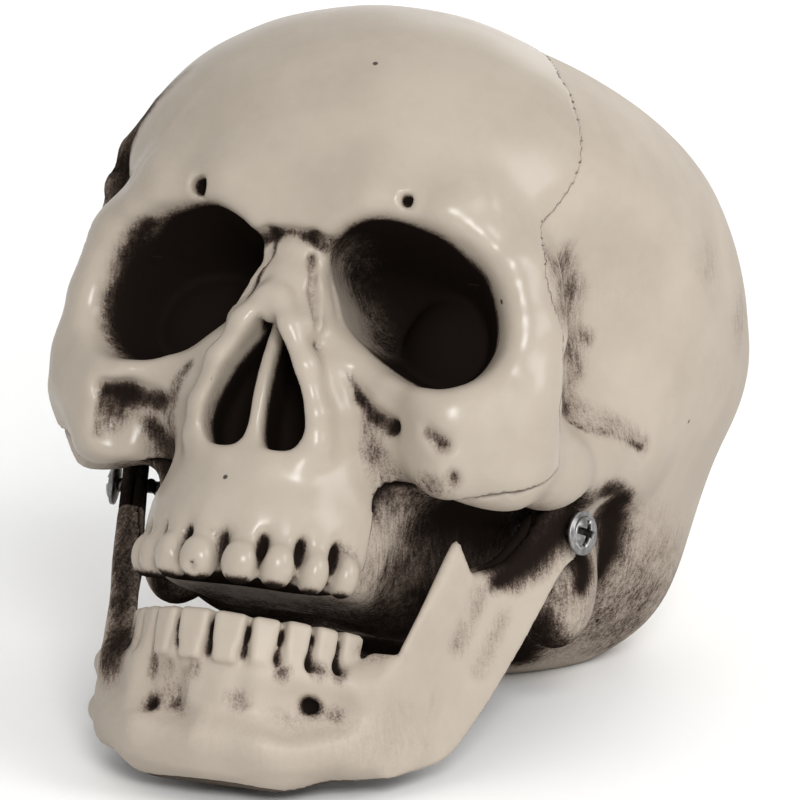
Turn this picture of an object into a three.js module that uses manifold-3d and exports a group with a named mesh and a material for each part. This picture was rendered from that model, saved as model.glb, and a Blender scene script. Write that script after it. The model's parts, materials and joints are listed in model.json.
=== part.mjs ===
// A plastic skull decoration with a hinged jaw, standing on its jaw and the back of its head.
// Two moulded shells make the skull and two make the jaw, and a screw on each side is the jaw's hinge.
// Millimetres and degrees. The forms are written in the skull's own frame: its origin is the middle of
// the jaw's hinge axis, x goes to the skull's left, y to the back of the head and z to the crown.
import * as THREE from "three";
import { mergeVertices } from "three/addons/utils/BufferGeometryUtils.js";
import Module from "manifold-3d";

const wasm = await Module();
wasm.setup();
const radians = THREE.MathUtils.degToRad;

// Stance on the table
const HEAD_TILT = 26;
const HINGE_HEIGHT = 47;

// Shell walls and the gap left between pieces that meet
const SHELL_WALL = 2.8;
const JAW_WALL = 2.4;
const FIT_GAP = 0.3;

// Braincase: egg shapes, each with its centre and half sizes, and a hollow for the temple
const CROWN_CENTRE = [0, 38, 53];
const CROWN_HALF = [67, 80, 54];
const FOREHEAD_CENTRE = [0, -12, 64];
const FOREHEAD_HALF = [58, 44, 44.4];
const PARIETAL_CENTRE = [30, 24, 71];
const PARIETAL_HALF = [31, 42, 29];
const NAPE_CENTRE = [0, 55, 10];
const NAPE_HALF = [54, 57, 35.5];
const SKULL_BASE_CENTRE = [0, 4, 4];
const SKULL_BASE_HALF = [41, 34, 30];
const MASTOID_CENTRE = [46, 17.5, -12];
const MASTOID_HALF = [8, 9, 14];
const TEMPLE_CENTRE = [66, -18, 46];
const TEMPLE_HALF = [17, 26, 20];

// Face: ridges are rods through points of x, y, z and radius
const BROW = [
  [0, -45, 53.5, 8.5],
  [16, -48, 56, 7],
  [33, -44, 56, 7],
  [46, -35, 46.5, 6.5],
];
const EYE_SIDE = [
  [45.5, -38, 46, 6],
  [50, -34.5, 34, 6.6],
  [50.5, -34.5, 22, 7],
  [38, -43, 14, 6.4],
];
const CHEEK_ARCH = [
  [48.5, -30, 9, 8],
  [50, -12, 11, 7.5],
  [50, 6, 17, 7.5],
  [52, 24, 24, 8],
];
const CHEEK_EDGE = [
  [32, -42, 2.2, 3.2],
  [40, -42, 1.8, 3.8],
  [50, -34, 4.2, 4.4],
];
const NOSE_BRIDGE = [
  [0, -45, 47.5, 4.8],
  [0, -49.6, 39, 4.8],
  [0, -56, 29.5, 4.4],
];
const NOSE_SIDE = [
  [5, -55, 28, 4],
  [11, -53.5, 15, 4.4],
  [13.5, -51, 4, 4.6],
  [5, -52, -3, 4.4],
];
const CHEEK_CENTRE = [40, -36.5, 9];
const CHEEK_HALF = [15.5, 12, 11];
const CHEEK_TURN = 30;
const MIDFACE_CENTRE = [0, -28, 12];
const MIDFACE_HALF = [33, 27, 34];
const UPPER_JAW_CENTRE = [0, -35, -15];
const UPPER_JAW_HALF = [26.5, 24.5, 22];
const UNDER_CHEEK_CENTRE = [28, -55.5, 2];
const UNDER_CHEEK_HALF = [7.5, 9, 11];
const UNDER_CHEEK_TURN = 25;
const EYE_BACK_CENTRE = [37, -24, 22];
const EYE_BACK_HALF = [14, 16, 18];
const PALATE_DROP = 27.5;

// Eye sockets and nose holes
const EYE_CENTRE = [28.5, -42.5, 38.3];
const EYE_HALF = [18.6, 23, 16.4];
const CUP_WALL = 4;
const CUP_MARGIN = 1.5;
const EYE_TURN = 18;
const EYE_TIP = -10;
const NOSE_TOP_Z = 27;
const NOSE_SILL_Z = 0.8;
const NOSE_HALF_WIDTH = 11;
const NOSE_FLOOR_Y = -42;
const NOSE_BLOCK_CENTRE = [0, -44, 13];
const NOSE_BLOCK_HALF = [17, 13, 20];
const SEPTUM = 2.4;

// Teeth: x, y, z, half width and half height, one side of each row
const TOOTH_HALF_DEPTH = 4;
const UPPER_TEETH = [
  [4.8, -58.3, -24.5, 4.3, 4.8],
  [11.8, -55.6, -24.1, 3.8, 5],
  [17.8, -50.4, -23.7, 3.4, 5],
  [22.4, -45.2, -23.1, 3.2, 4.8],
];
const LOWER_TEETH = [
  [3.8, -54, -40.2, 3.9, 5.4],
  [10.2, -52.2, -40, 3.2, 5.2],
  [15.2, -48.4, -39.4, 3, 5],
  [19.3, -43.8, -38.8, 2.8, 4.7],
  [22.6, -38.8, -38.2, 2.8, 4.4],
];

// Joint between the face and the braincase, as y and z in side view
const SEAM = [
  [-38, -6],
  [-30, 2],
  [-30, 70],
  [-24, 88],
  [-12, 104],
];

// Jaw: side plates that splay outwards to the hinge, and a bar that bends round the chin
const HINGE_HALF_SPAN = 51;
const PLATE_SPLAY = 24.8;
const PLATE_LEAN = 3.6;
const PLATE_THICKNESS = 6.4;
const PLATE_EDGE = 1.4;
const PLATE_OUTLINE = [
  [-29, -10],
  [-26.5, -12],
  [-23, -15.4],
  [-18.5, -13.2],
  [-13.5, -9.5],
  [-9.5, -3.5],
  [-6, 4.5],
  [3.5, 5],
  [4.5, -2.5],
  [0.2, -8.5],
  [-3.6, -19],
  [-6.9, -29.5],
  [-12, -42.5],
  [-17, -52.5],
  [-23, -57.6],
  [-34, -62],
  [-40, -46],
  [-39, -36],
  [-34.6, -27],
  [-31.8, -19],
];
const JAW_ANGLE_Y = -26;
const splay = Math.tan(radians(PLATE_SPLAY));
const lean = Math.tan(radians(PLATE_LEAN));
const plateX = (y, z) => HINGE_HALF_SPAN + splay * y + lean * z;
const JAW_ANGLE_Z = -54;
const JAW_CORNER_Z = -44;
const JAW_LOWER = [
  [plateX(JAW_ANGLE_Y, JAW_ANGLE_Z), JAW_ANGLE_Y, JAW_ANGLE_Z, 3.4],
  [26, -34, -57, 5.4],
  [15, -43, -59.4, 7.6],
  [0, -47, -60, 8],
];
const JAW_UPPER = [
  [plateX(JAW_ANGLE_Y, JAW_CORNER_Z), JAW_ANGLE_Y, JAW_CORNER_Z, 3.4],
  [25.5, -37, -46, 5.2],
  [14, -45.5, -47, 6],
  [0, -48.5, -47.5, 6],
];
const CHIN_BASE_CENTRE = [0, -38.5, -61.5];
const CHIN_BASE_HALF = [21, 14, 7.5];

// Hinge: eyelet on the jaw, boss on the skull and the screw through both
const EYELET_RADIUS = 7;
const HINGE_CLEARANCE = 1.2;
const SCREW_RADIUS = 1.9;
const THREAD_DEPTH = 0.5;
const THREAD_TURNS = 5;
const SCREW_LENGTH = 18;
const SCREW_HEAD_RADIUS = 4.8;
const SCREW_HEAD_HEIGHT = 2.4;
const SCREW_RIM_HEIGHT = 1;
const SCREW_DOME_RADIUS = 3.6;
const SCREW_DOME_HEIGHT = 2;
const SCREW_TIP_RADIUS = 1;
const CROSS_WIDTH = 1.3;
const CROSS_LENGTH = 5;
const CROSS_DEPTH = 1.5;
const BOSS_RADIUS = 5.5;
const BOSS_DEPTH = 26;
const PILOT_SPARE = 1;

// Widths of the blends between forms, and of the rounded edges where one is cut out of another
const FOREHEAD_BLEND = 22;
const PARIETAL_BLEND = 16;
const NAPE_BLEND = 20;
const BASE_BLEND = 12;
const MASTOID_BLEND = 6;
const TEMPLE_BLEND = 14;
const ARCH_BLEND = 12;
const CHEEK_BLEND = 5;
const FACE_BLEND = 8;
const NOSE_BLEND = 4;
const ROD_BLEND = 6;
const JAW_BLEND = 6;
const SOCKET_EDGE = 4;
const UNDER_CHEEK_EDGE = 7;
const PALATE_EDGE = 3;

// How coarse the skins are
const FACE_CELL = 4.8;
const BACK_CELL = 8.4;
const CAVITY_CELL = 11;
const JAW_CELL = 4.5;
const ROUND_SIDES = 18;
const TOOTH_SIDES = 10;
const CUP_SIDES = 16;
const HOLE_STEPS = 5;
const UNTANGLED = 0.3;
const MERGE = 1e-4;
const TINY = 1e-9;

// Reach of a block that has to pass everything
const BEYOND = 300;

// How far a blend can swell past the forms that it joins
const BLEND_SWELL = 8;

// Signed distances, negative inside
const clamp01 = (t) => Math.min(1, Math.max(0, t));

function smoothMin(a, b, k) {
  const h = clamp01(0.5 + (0.5 * (b - a)) / k);
  return b + (a - b) * h - k * h * (1 - h);
}

const smoothMax = (a, b, k) => -smoothMin(-a, -b, k);

// An egg shape tipped about y, then turned about z.
function egg(centre, half, turn = 0, tip = 0) {
  const [ct, st] = [Math.cos(radians(turn)), Math.sin(radians(turn))];
  const [cl, sl] = [Math.cos(radians(tip)), Math.sin(radians(tip))];
  return (x, y, z) => {
    const [dx, dy, dz] = [x - centre[0], y - centre[1], z - centre[2]];
    const tx = ct * dx + st * dy;
    const qy = -st * dx + ct * dy;
    const qx = cl * tx - sl * dz;
    const qz = sl * tx + cl * dz;
    const [ux, uy, uz] = [qx / half[0], qy / half[1], qz / half[2]];
    const k0 = Math.hypot(ux, uy, uz);
    const k1 = Math.hypot(ux / half[0], uy / half[1], uz / half[2]) + TINY;
    return (k0 * (k0 - 1)) / k1;
  };
}

// A rod of changing radius through points of x, y, z and radius.
function rod(points, k = ROD_BLEND) {
  return (x, y, z) => {
    let d = Infinity;
    for (let i = 1; i < points.length; i++) {
      const [a, b] = [points[i - 1], points[i]];
      const [ex, ey, ez] = [b[0] - a[0], b[1] - a[1], b[2] - a[2]];
      const along = (x - a[0]) * ex + (y - a[1]) * ey + (z - a[2]) * ez;
      const t = clamp01(along / (ex * ex + ey * ey + ez * ez));
      const off = Math.hypot(x - a[0] - ex * t, y - a[1] - ey * t, z - a[2] - ez * t);
      const reach = off - (a[3] + (b[3] - a[3]) * t);
      d = i === 1 ? reach : smoothMin(d, reach, k);
    }
    return d;
  };
}

// The whole skull as one form, with its blend widths beside each piece.
const crown = egg(CROWN_CENTRE, CROWN_HALF);
const braincase = [
  [egg(FOREHEAD_CENTRE, FOREHEAD_HALF), FOREHEAD_BLEND],
  [egg(PARIETAL_CENTRE, PARIETAL_HALF), PARIETAL_BLEND],
  [egg(NAPE_CENTRE, NAPE_HALF), NAPE_BLEND],
  [egg(SKULL_BASE_CENTRE, SKULL_BASE_HALF), BASE_BLEND],
  [egg(MASTOID_CENTRE, MASTOID_HALF), MASTOID_BLEND],
];
const temple = egg(TEMPLE_CENTRE, TEMPLE_HALF);
const faceForms = [
  [rod(BROW), FACE_BLEND],
  [rod(EYE_SIDE), FACE_BLEND],
  [egg(CHEEK_CENTRE, CHEEK_HALF, CHEEK_TURN), FACE_BLEND],
  [rod(CHEEK_EDGE, CHEEK_BLEND), CHEEK_BLEND],
  [rod(CHEEK_ARCH), ARCH_BLEND],
  [egg(EYE_BACK_CENTRE, EYE_BACK_HALF), FACE_BLEND],
  [egg(MIDFACE_CENTRE, MIDFACE_HALF), FACE_BLEND],
  [egg(UPPER_JAW_CENTRE, UPPER_JAW_HALF), FACE_BLEND],
  [rod(NOSE_BRIDGE, NOSE_BLEND), NOSE_BLEND],
  [rod(NOSE_SIDE, NOSE_BLEND), NOSE_BLEND],
];
const eyeSocket = egg(EYE_CENTRE, EYE_HALF, EYE_TURN, EYE_TIP);
const underCheek = egg(UNDER_CHEEK_CENTRE, UNDER_CHEEK_HALF, UNDER_CHEEK_TURN);

function skullForm(sx, y, z) {
  const x = Math.abs(sx);
  let d = crown(x, y, z);
  for (const [form, k] of braincase) d = smoothMin(d, form(x, y, z), k);
  d = smoothMax(d, -temple(x, y, z), TEMPLE_BLEND);
  for (const [form, k] of faceForms) d = smoothMin(d, form(x, y, z), k);
  d = smoothMax(d, -eyeSocket(x, y, z), SOCKET_EDGE);
  d = smoothMax(d, -underCheek(x, y, z), UNDER_CHEEK_EDGE);
  return smoothMax(d, -(z + PALATE_DROP), PALATE_EDGE);
}

const jawLower = rod(JAW_LOWER);
const jawUpper = rod(JAW_UPPER);
const chinBase = egg(CHIN_BASE_CENTRE, CHIN_BASE_HALF);

function jawBar(sx, y, z) {
  const x = Math.abs(sx);
  const bar = smoothMin(jawLower(x, y, z), jawUpper(x, y, z), JAW_BLEND);
  return smoothMin(bar, chinBase(x, y, z), JAW_BLEND);
}

// Evenly spaced grid lines that cover a stretch and reach past both of its ends.
function lines(from, to, step) {
  const count = Math.ceil((to - from) / step) + 2;
  const start = (from + to - count * step) / 2;
  return Array.from({ length: count + 1 }, (_, i) => start + i * step);
}

// Where two corners of a grid square are inside and the other two, across from them, are outside, one
// corner changes side, so that the skin never touches itself along an edge.
function untangle(value, at, [nx, ny, nz], fill) {
  const squares = [
    [[1, 0, 0], [0, 1, 0]],
    [[0, 1, 0], [0, 0, 1]],
    [[0, 0, 1], [1, 0, 0]],
  ];
  let changed = true;
  while (changed) {
    changed = false;
    for (let k = 0; k < nz - 1; k++)
      for (let j = 0; j < ny - 1; j++)
        for (let i = 0; i < nx - 1; i++)
          for (const [s, t] of squares) {
            const a = at(i, j, k);
            const b = at(i + s[0], j + s[1], k + s[2]);
            const c = at(i + t[0], j + t[1], k + t[2]);
            const d = at(i + s[0] + t[0], j + s[1] + t[1], k + s[2] + t[2]);
            const inside = value[a] < 0;
            if (value[d] < 0 !== inside || value[b] < 0 === inside || value[c] < 0 === inside) continue;
            const pair = inside === fill ? [b, c] : [a, d];
            const nearest = Math.abs(value[pair[0]]) < Math.abs(value[pair[1]]) ? pair[0] : pair[1];
            value[nearest] = fill ? -UNTANGLED : UNTANGLED;
            changed = true;
          }
  }
}

// The closed skin where a form is zero: one point in each cell that the surface crosses, and a face
// across each grid edge that it crosses.
function skin(form, xs, ys, zs, fill = true) {
  const [nx, ny, nz] = [xs.length, ys.length, zs.length];
  const at = (i, j, k) => (k * ny + j) * nx + i;
  const value = new Float64Array(nx * ny * nz);
  for (let k = 0; k < nz; k++)
    for (let j = 0; j < ny; j++)
      for (let i = 0; i < nx; i++) value[at(i, j, k)] = form(xs[i], ys[j], zs[k]);
  untangle(value, at, [nx, ny, nz], fill);
  const edges = [];
  for (let c = 0; c < 8; c++)
    for (const bit of [1, 2, 4]) if (!(c & bit)) edges.push([c, c | bit]);
  const corner = (i, j, k, c) => [i + (c & 1), j + ((c >> 1) & 1), k + (c >> 2)];
  const points = [];
  const cellPoint = new Map();
  for (let k = 0; k < nz - 1; k++)
    for (let j = 0; j < ny - 1; j++)
      for (let i = 0; i < nx - 1; i++) {
        const sum = [0, 0, 0];
        let count = 0;
        for (const [c0, c1] of edges) {
          const [a, b] = [corner(i, j, k, c0), corner(i, j, k, c1)];
          const [va, vb] = [value[at(...a)], value[at(...b)]];
          if (va < 0 === vb < 0) continue;
          const t = va / (va - vb);
          sum[0] += xs[a[0]] + (xs[b[0]] - xs[a[0]]) * t;
          sum[1] += ys[a[1]] + (ys[b[1]] - ys[a[1]]) * t;
          sum[2] += zs[a[2]] + (zs[b[2]] - zs[a[2]]) * t;
          count += 1;
        }
        if (!count) continue;
        cellPoint.set(at(i, j, k), points.length / 3);
        points.push(sum[0] / count, sum[1] / count, sum[2] / count);
      }
  const faces = [];
  const steps = [
    [1, 0, 0],
    [0, 1, 0],
    [0, 0, 1],
  ];
  for (let k = 1; k < nz - 1; k++)
    for (let j = 1; j < ny - 1; j++)
      for (let i = 1; i < nx - 1; i++)
        steps.forEach((step, axis) => {
          const here = value[at(i, j, k)] < 0;
          const next = value[at(i + step[0], j + step[1], k + step[2])] < 0;
          if (here === next) return;
          const [s, t] = [steps[(axis + 1) % 3], steps[(axis + 2) % 3]];
          const back = (m, n) => [0, 1, 2].map((c) => s[c] * m + t[c] * n);
          const cell = (m, n) => {
            const [di, dj, dk] = back(m, n);
            return cellPoint.get(at(i - di, j - dj, k - dk));
          };
          const ring = [cell(1, 1), cell(0, 1), cell(0, 0), cell(1, 0)];
          if (!here) ring.reverse();
          faces.push(ring[0], ring[1], ring[2], ring[0], ring[2], ring[3]);
        });
  const geometry = new THREE.BufferGeometry();
  geometry.setAttribute("position", new THREE.Float32BufferAttribute(points, 3));
  geometry.setIndex(faces);
  return geometry;
}

// Solids for joining and cutting
function bare(geometry) {
  const copy = geometry.clone();
  copy.deleteAttribute("normal");
  copy.deleteAttribute("uv");
  return copy;
}

function solidOf(geometry) {
  const merged = mergeVertices(bare(geometry), MERGE);
  return new wasm.Manifold(
    new wasm.Mesh({
      numProp: 3,
      vertProperties: new Float32Array(merged.attributes.position.array),
      triVerts: new Uint32Array(merged.index.array),
    }),
  );
}

function geometryOf(solid) {
  const mesh = solid.getMesh();
  const geometry = new THREE.BufferGeometry();
  geometry.setAttribute("position", new THREE.BufferAttribute(mesh.vertProperties, 3));
  geometry.setIndex(new THREE.BufferAttribute(mesh.triVerts, 1));
  geometry.computeVertexNormals();
  return geometry;
}

// The largest of a solid's bodies, without the slivers that cuts leave.
function mainBody(solid) {
  return solid.decompose().reduce((most, body) => (body.volume() > most.volume() ? body : most));
}

// The solid of a piece's copy on the skull's right side, its faces turned to point out again.
function mirrored(geometry) {
  const copy = mergeVertices(bare(geometry), MERGE);
  copy.scale(-1, 1, 1);
  const order = copy.index.array;
  for (let i = 0; i < order.length; i += 3) [order[i], order[i + 1]] = [order[i + 1], order[i]];
  return solidOf(copy);
}

// A round bar along x between two values of x.
function barX(radius, from, to) {
  const bar = new THREE.CylinderGeometry(radius, radius, Math.abs(to - from), ROUND_SIDES);
  bar.rotateZ(Math.PI / 2);
  bar.translate((from + to) / 2, 0, 0);
  return solidOf(bar);
}

// Everything in front of the joint between the face and the braincase, moved back and down by a gap.
function inFrontOfSeam(gap) {
  const line = SEAM.map(([y, z]) => new THREE.Vector2(y + gap, z - gap));
  const [foot, head] = [line[0], line[line.length - 1]];
  const side = new THREE.Shape();
  side.moveTo(-BEYOND, BEYOND);
  side.lineTo(-BEYOND, -BEYOND);
  side.lineTo(foot.x, -BEYOND);
  line.forEach((point) => side.lineTo(point.x, point.y));
  side.lineTo(head.x, BEYOND);
  const block = new THREE.ExtrudeGeometry(side, { depth: 2 * BEYOND, bevelEnabled: false });
  block.translate(0, 0, -BEYOND);
  // the shape's x and y become the skull's y and z
  block.applyMatrix4(new THREE.Matrix4().set(0, 0, 1, 0, 1, 0, 0, 0, 0, 1, 0, 0, 0, 0, 0, 1));
  return solidOf(block);
}

// Height over the table top of a point in the skull's frame.
function overTable(y, z) {
  return HINGE_HEIGHT + z * Math.cos(radians(HEAD_TILT)) - y * Math.sin(radians(HEAD_TILT));
}

// Everything below the table top, in the skull's frame.
function belowTable() {
  const block = new THREE.BoxGeometry(2 * BEYOND, 2 * BEYOND, BEYOND);
  block.translate(0, 0, -HINGE_HEIGHT - BEYOND / 2);
  block.rotateX(radians(HEAD_TILT));
  return solidOf(block);
}

function tooth([x, y, z, halfWidth, halfHeight], side, gap = 0) {
  const bulb = new THREE.SphereGeometry(1, TOOTH_SIDES, TOOTH_SIDES / 2 + 1);
  bulb.scale(halfWidth + gap, TOOTH_HALF_DEPTH + gap, halfHeight + gap);
  bulb.translate(side * x, y, z);
  return solidOf(bulb);
}

const SIDES = [-1, 1];
const eyeletInner = HINGE_HALF_SPAN - PLATE_THICKNESS / 2;
const eyeletOuter = HINGE_HALF_SPAN + PLATE_THICKNESS / 2;
const bossFace = eyeletInner - FIT_GAP;
const headSeat = eyeletOuter + FIT_GAP;
const pilotRadius = SCREW_RADIUS + FIT_GAP;

// Space that holds the eye sockets' cups, which belong to the face and reach into the braincase.
function eyeCups(extra) {
  const cups = SIDES.map((side) => {
    const cup = new THREE.SphereGeometry(1, CUP_SIDES, CUP_SIDES - 4);
    cup.scale(...EYE_HALF.map((half) => half + SHELL_WALL + extra));
    cup.rotateY(radians(-EYE_TIP));
    cup.rotateZ(radians(EYE_TURN));
    cup.translate(...EYE_CENTRE);
    return side < 0 ? mirrored(cup) : solidOf(cup);
  });
  return cups[0].add(cups[1]);
}

function skullShells() {
  const wide = CROWN_HALF[0] + BLEND_SWELL;
  const front = Math.min(...NOSE_BRIDGE.map(([, y, , radius]) => y - radius)) - BLEND_SWELL;
  const rear = CROWN_CENTRE[1] + CROWN_HALF[1] + BLEND_SWELL;
  const low = Math.min(UPPER_JAW_CENTRE[2] - UPPER_JAW_HALF[2], NAPE_CENTRE[2] - NAPE_HALF[2]) - BLEND_SWELL;
  const top = CROWN_CENTRE[2] + CROWN_HALF[2] + BLEND_SWELL;
  const grid = (step, form, fill) =>
    solidOf(skin(form, lines(-wide, wide, step), lines(front, rear, step), lines(low, top, step), fill));
  const noseBlock = egg(NOSE_BLOCK_CENTRE, NOSE_BLOCK_HALF);
  const eyeBlock = egg(EYE_CENTRE, EYE_HALF.map((half) => half + CUP_WALL), EYE_TURN, EYE_TIP);
  const blocks = (x, y, z) => Math.min(noseBlock(x, y, z), eyeBlock(Math.abs(x), y, z));
  const hollow = (x, y, z) =>
    Math.max(skullForm(x, y, z) + SHELL_WALL, SHELL_WALL - overTable(y, z), -blocks(x, y, z));
  const cavity = grid(CAVITY_CELL, hollow, false);
  let face = grid(FACE_CELL, skullForm).subtract(cavity);
  face = face.intersect(inFrontOfSeam(-FIT_GAP / 2).add(eyeCups(CUP_MARGIN)));
  face = face.subtract(noseHole());
  for (const side of SIDES) for (const place of UPPER_TEETH) face = face.add(tooth(place, side));
  let back = grid(BACK_CELL, skullForm).subtract(cavity).subtract(belowTable());
  back = back.subtract(inFrontOfSeam(FIT_GAP / 2)).subtract(eyeCups(CUP_MARGIN + FIT_GAP));
  for (const side of SIDES) {
    const eyeletRoom = barX(EYELET_RADIUS + HINGE_CLEARANCE, side * bossFace, side * (bossFace + BOSS_DEPTH));
    const boss = barX(BOSS_RADIUS, side * (bossFace - BOSS_DEPTH), side * bossFace);
    const pilot = barX(pilotRadius, side * (headSeat - SCREW_LENGTH - PILOT_SPARE), side * headSeat);
    back = back.subtract(eyeletRoom).add(boss).subtract(pilot);
  }
  return [mainBody(face), mainBody(back)];
}

// One nose hole: a tear drop beside the middle wall, cut straight back from the front.
function noseHole() {
  const drop = new THREE.Shape();
  const inner = SEPTUM / 2;
  const lobe = (NOSE_HALF_WIDTH - inner) / 2;
  const lobeZ = NOSE_SILL_Z + lobe;
  drop.moveTo(inner, NOSE_TOP_Z);
  drop.quadraticCurveTo(inner + lobe, (NOSE_TOP_Z + lobeZ) / 2, NOSE_HALF_WIDTH, lobeZ);
  drop.quadraticCurveTo(NOSE_HALF_WIDTH, NOSE_SILL_Z, inner + lobe, NOSE_SILL_Z);
  drop.quadraticCurveTo(inner, NOSE_SILL_Z, inner, lobeZ);
  const hole = new THREE.ExtrudeGeometry(drop, {
    depth: BEYOND,
    bevelEnabled: false,
    curveSegments: HOLE_STEPS,
  });
  // the shape's x and y become the skull's x and z, and it goes forwards from the hole's floor
  hole.rotateX(Math.PI / 2);
  hole.translate(0, NOSE_FLOOR_Y, 0);
  return solidOf(hole).add(mirrored(hole));
}

// The space on the jaw's tongue side: inside the middle line of its plates and bar seen from above, with
// each side leaned as the plates are.
function tongueSide(gap) {
  const reach = 2 * HINGE_HALF_SPAN;
  const bend = JAW_LOWER.map(([x, y, z]) => [x ? x - lean * z : 0, y]);
  const left = [[plateX(BEYOND, 0), BEYOND], ...bend].map(([x, y]) => [x ? x - gap : 0, y + gap]);
  const right = left.slice(0, -1).map(([x, y]) => [-x, y]);
  const plan = new THREE.Shape([...left, ...right.reverse()].map(([x, y]) => new THREE.Vector2(x, y)));
  const block = new THREE.ExtrudeGeometry(plan, { depth: 2 * reach, bevelEnabled: false });
  block.translate(0, 0, -reach);
  const corners = block.attributes.position;
  for (let i = 0; i < corners.count; i++) {
    const x = corners.getX(i);
    corners.setX(i, x + Math.sign(x) * lean * corners.getZ(i));
  }
  return solidOf(block);
}

// A side plate: its outline in side view, made thick along x and sheared to its splay.
function sidePlate(side) {
  const outline = new THREE.Shape(PLATE_OUTLINE.map(([y, z]) => new THREE.Vector2(y, z)));
  const plate = new THREE.ExtrudeGeometry(outline, {
    depth: PLATE_THICKNESS - 2 * PLATE_EDGE,
    bevelThickness: PLATE_EDGE,
    bevelSize: PLATE_EDGE,
    bevelOffset: -PLATE_EDGE,
    bevelSegments: 2,
  });
  const inner = HINGE_HALF_SPAN - PLATE_THICKNESS / 2 + PLATE_EDGE;
  plate.applyMatrix4(new THREE.Matrix4().set(splay, lean, 1, inner, 1, 0, 0, 0, 0, 1, 0, 0, 0, 0, 0, 1));
  return side < 0 ? mirrored(plate) : solidOf(plate);
}

function jawShells() {
  const bars = [...JAW_LOWER, ...JAW_UPPER];
  const limit = (axis, sign) =>
    sign * (Math.max(...bars.map((point) => sign * point[axis] + point[3])) + BLEND_SWELL);
  const wide = limit(0, 1);
  const [depths, heights] = [1, 2].map((axis) => lines(limit(axis, -1), limit(axis, 1), JAW_CELL));
  const grid = (form, fill) => solidOf(skin(form, lines(-wide, wide, JAW_CELL), depths, heights, fill));
  let solid = grid(jawBar, true);
  for (const side of SIDES) solid = solid.add(sidePlate(side));
  const hollow = (x, y, z) => Math.max(jawBar(x, y, z) + JAW_WALL, JAW_WALL - overTable(y, z));
  solid = solid.subtract(grid(hollow, false)).subtract(belowTable());
  let outer = solid.subtract(tongueSide(-FIT_GAP / 2));
  let inner = solid.intersect(tongueSide(FIT_GAP / 2));
  for (const side of SIDES) {
    for (const place of LOWER_TEETH) {
      outer = outer.add(tooth(place, side));
      inner = inner.subtract(tooth(place, side, FIT_GAP));
    }
    const inside = side * (eyeletInner - PLATE_THICKNESS);
    const outside = side * (eyeletOuter + PLATE_THICKNESS);
    outer = outer.subtract(barX(EYELET_RADIUS, inside, outside));
    outer = outer.add(barX(EYELET_RADIUS + FIT_GAP, side * eyeletInner, side * eyeletOuter));
    inner = inner.subtract(barX(EYELET_RADIUS + 2 * FIT_GAP, inside, outside));
    outer = outer.subtract(barX(pilotRadius, inside, outside));
  }
  return [mainBody(outer), mainBody(inner)];
}

// A self-tapping screw along x, its washer head outwards, with a cross recess.
function hingeScrew(side) {
  const tip = headSeat - SCREW_LENGTH;
  const root = SCREW_RADIUS - THREAD_DEPTH;
  const pitch = (SCREW_LENGTH - PLATE_THICKNESS) / (THREAD_TURNS + 1);
  const profile = [[0, tip], [SCREW_TIP_RADIUS, tip]];
  for (let turn = 0; turn < THREAD_TURNS; turn++) {
    const foot = tip + pitch * (turn + 1 / 2);
    profile.push([root, foot], [SCREW_RADIUS, foot + pitch / 2]);
  }
  profile.push([root, headSeat - PLATE_THICKNESS], [root, headSeat], [SCREW_HEAD_RADIUS, headSeat]);
  profile.push([SCREW_HEAD_RADIUS, headSeat + SCREW_RIM_HEIGHT]);
  profile.push([SCREW_DOME_RADIUS, headSeat + SCREW_DOME_HEIGHT]);
  profile.push([0, headSeat + SCREW_HEAD_HEIGHT]);
  const turned = new THREE.LatheGeometry(profile.map(([r, x]) => new THREE.Vector2(r, x)), ROUND_SIDES);
  turned.rotateZ(-Math.PI / 2);
  if (side < 0) turned.rotateZ(Math.PI);
  let screw = solidOf(turned);
  for (const [wide, tall] of [[CROSS_WIDTH, CROSS_LENGTH], [CROSS_LENGTH, CROSS_WIDTH]]) {
    const slot = new THREE.BoxGeometry(2 * CROSS_DEPTH, wide, tall);
    slot.translate(side * (headSeat + SCREW_HEAD_HEIGHT), 0, 0);
    screw = screw.subtract(solidOf(slot));
  }
  return screw;
}

// Finishes
const FACE_PLASTIC = { color: 0xc9bfae, roughness: 0.42, metalness: 0 };
const BONE_PLASTIC = { color: 0xc4baaa, roughness: 0.55, metalness: 0 };
const DARK_PLASTIC = { color: 0x4a3f35, roughness: 0.5, metalness: 0 };
const ZINC_STEEL = { color: 0x9a9ca0, roughness: 0.35, metalness: 1 };

const skull = new THREE.Group();
skull.rotation.x = radians(-HEAD_TILT);
skull.position.z = HINGE_HEIGHT;

function addPiece(name, solid, finish) {
  const piece = new THREE.Mesh(geometryOf(solid), new THREE.MeshStandardMaterial(finish));
  piece.name = name;
  skull.add(piece);
}

const [faceSolid, backSolid] = skullShells();
const [jawOuterSolid, jawInnerSolid] = jawShells();
addPiece("face_shell", faceSolid, FACE_PLASTIC);
addPiece("cranium_shell", backSolid, BONE_PLASTIC);
addPiece("jaw_outer_shell", jawOuterSolid, BONE_PLASTIC);
addPiece("jaw_inner_shell", jawInnerSolid, DARK_PLASTIC);
addPiece("jaw_screw_left", hingeScrew(1), ZINC_STEEL);
addPiece("jaw_screw_right", hingeScrew(-1), ZINC_STEEL);

// The origin is on the table under the middle of the part.
const part = new THREE.Group();
part.add(skull);
const box = new THREE.Box3().setFromObject(part, true);
skull.position.y = -(box.min.y + box.max.y) / 2;

export default part;
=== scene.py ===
"""Dresses a plastic skull decoration: two skull shells, two jaw shells and the jaw's two hinge screws.

The shells are sculpted as distance fields in the skull's own frame, in millimetres: its origin is the
middle of the jaw's hinge axis, x goes to the skull's left, y to the back of the head and z to the crown.
A field is negative inside. The skinned shells are then placed in the part's frame, in metres.
"""

import json
import logging
import math
from collections.abc import Sequence
from dataclasses import dataclass
from enum import Enum, auto

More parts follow.
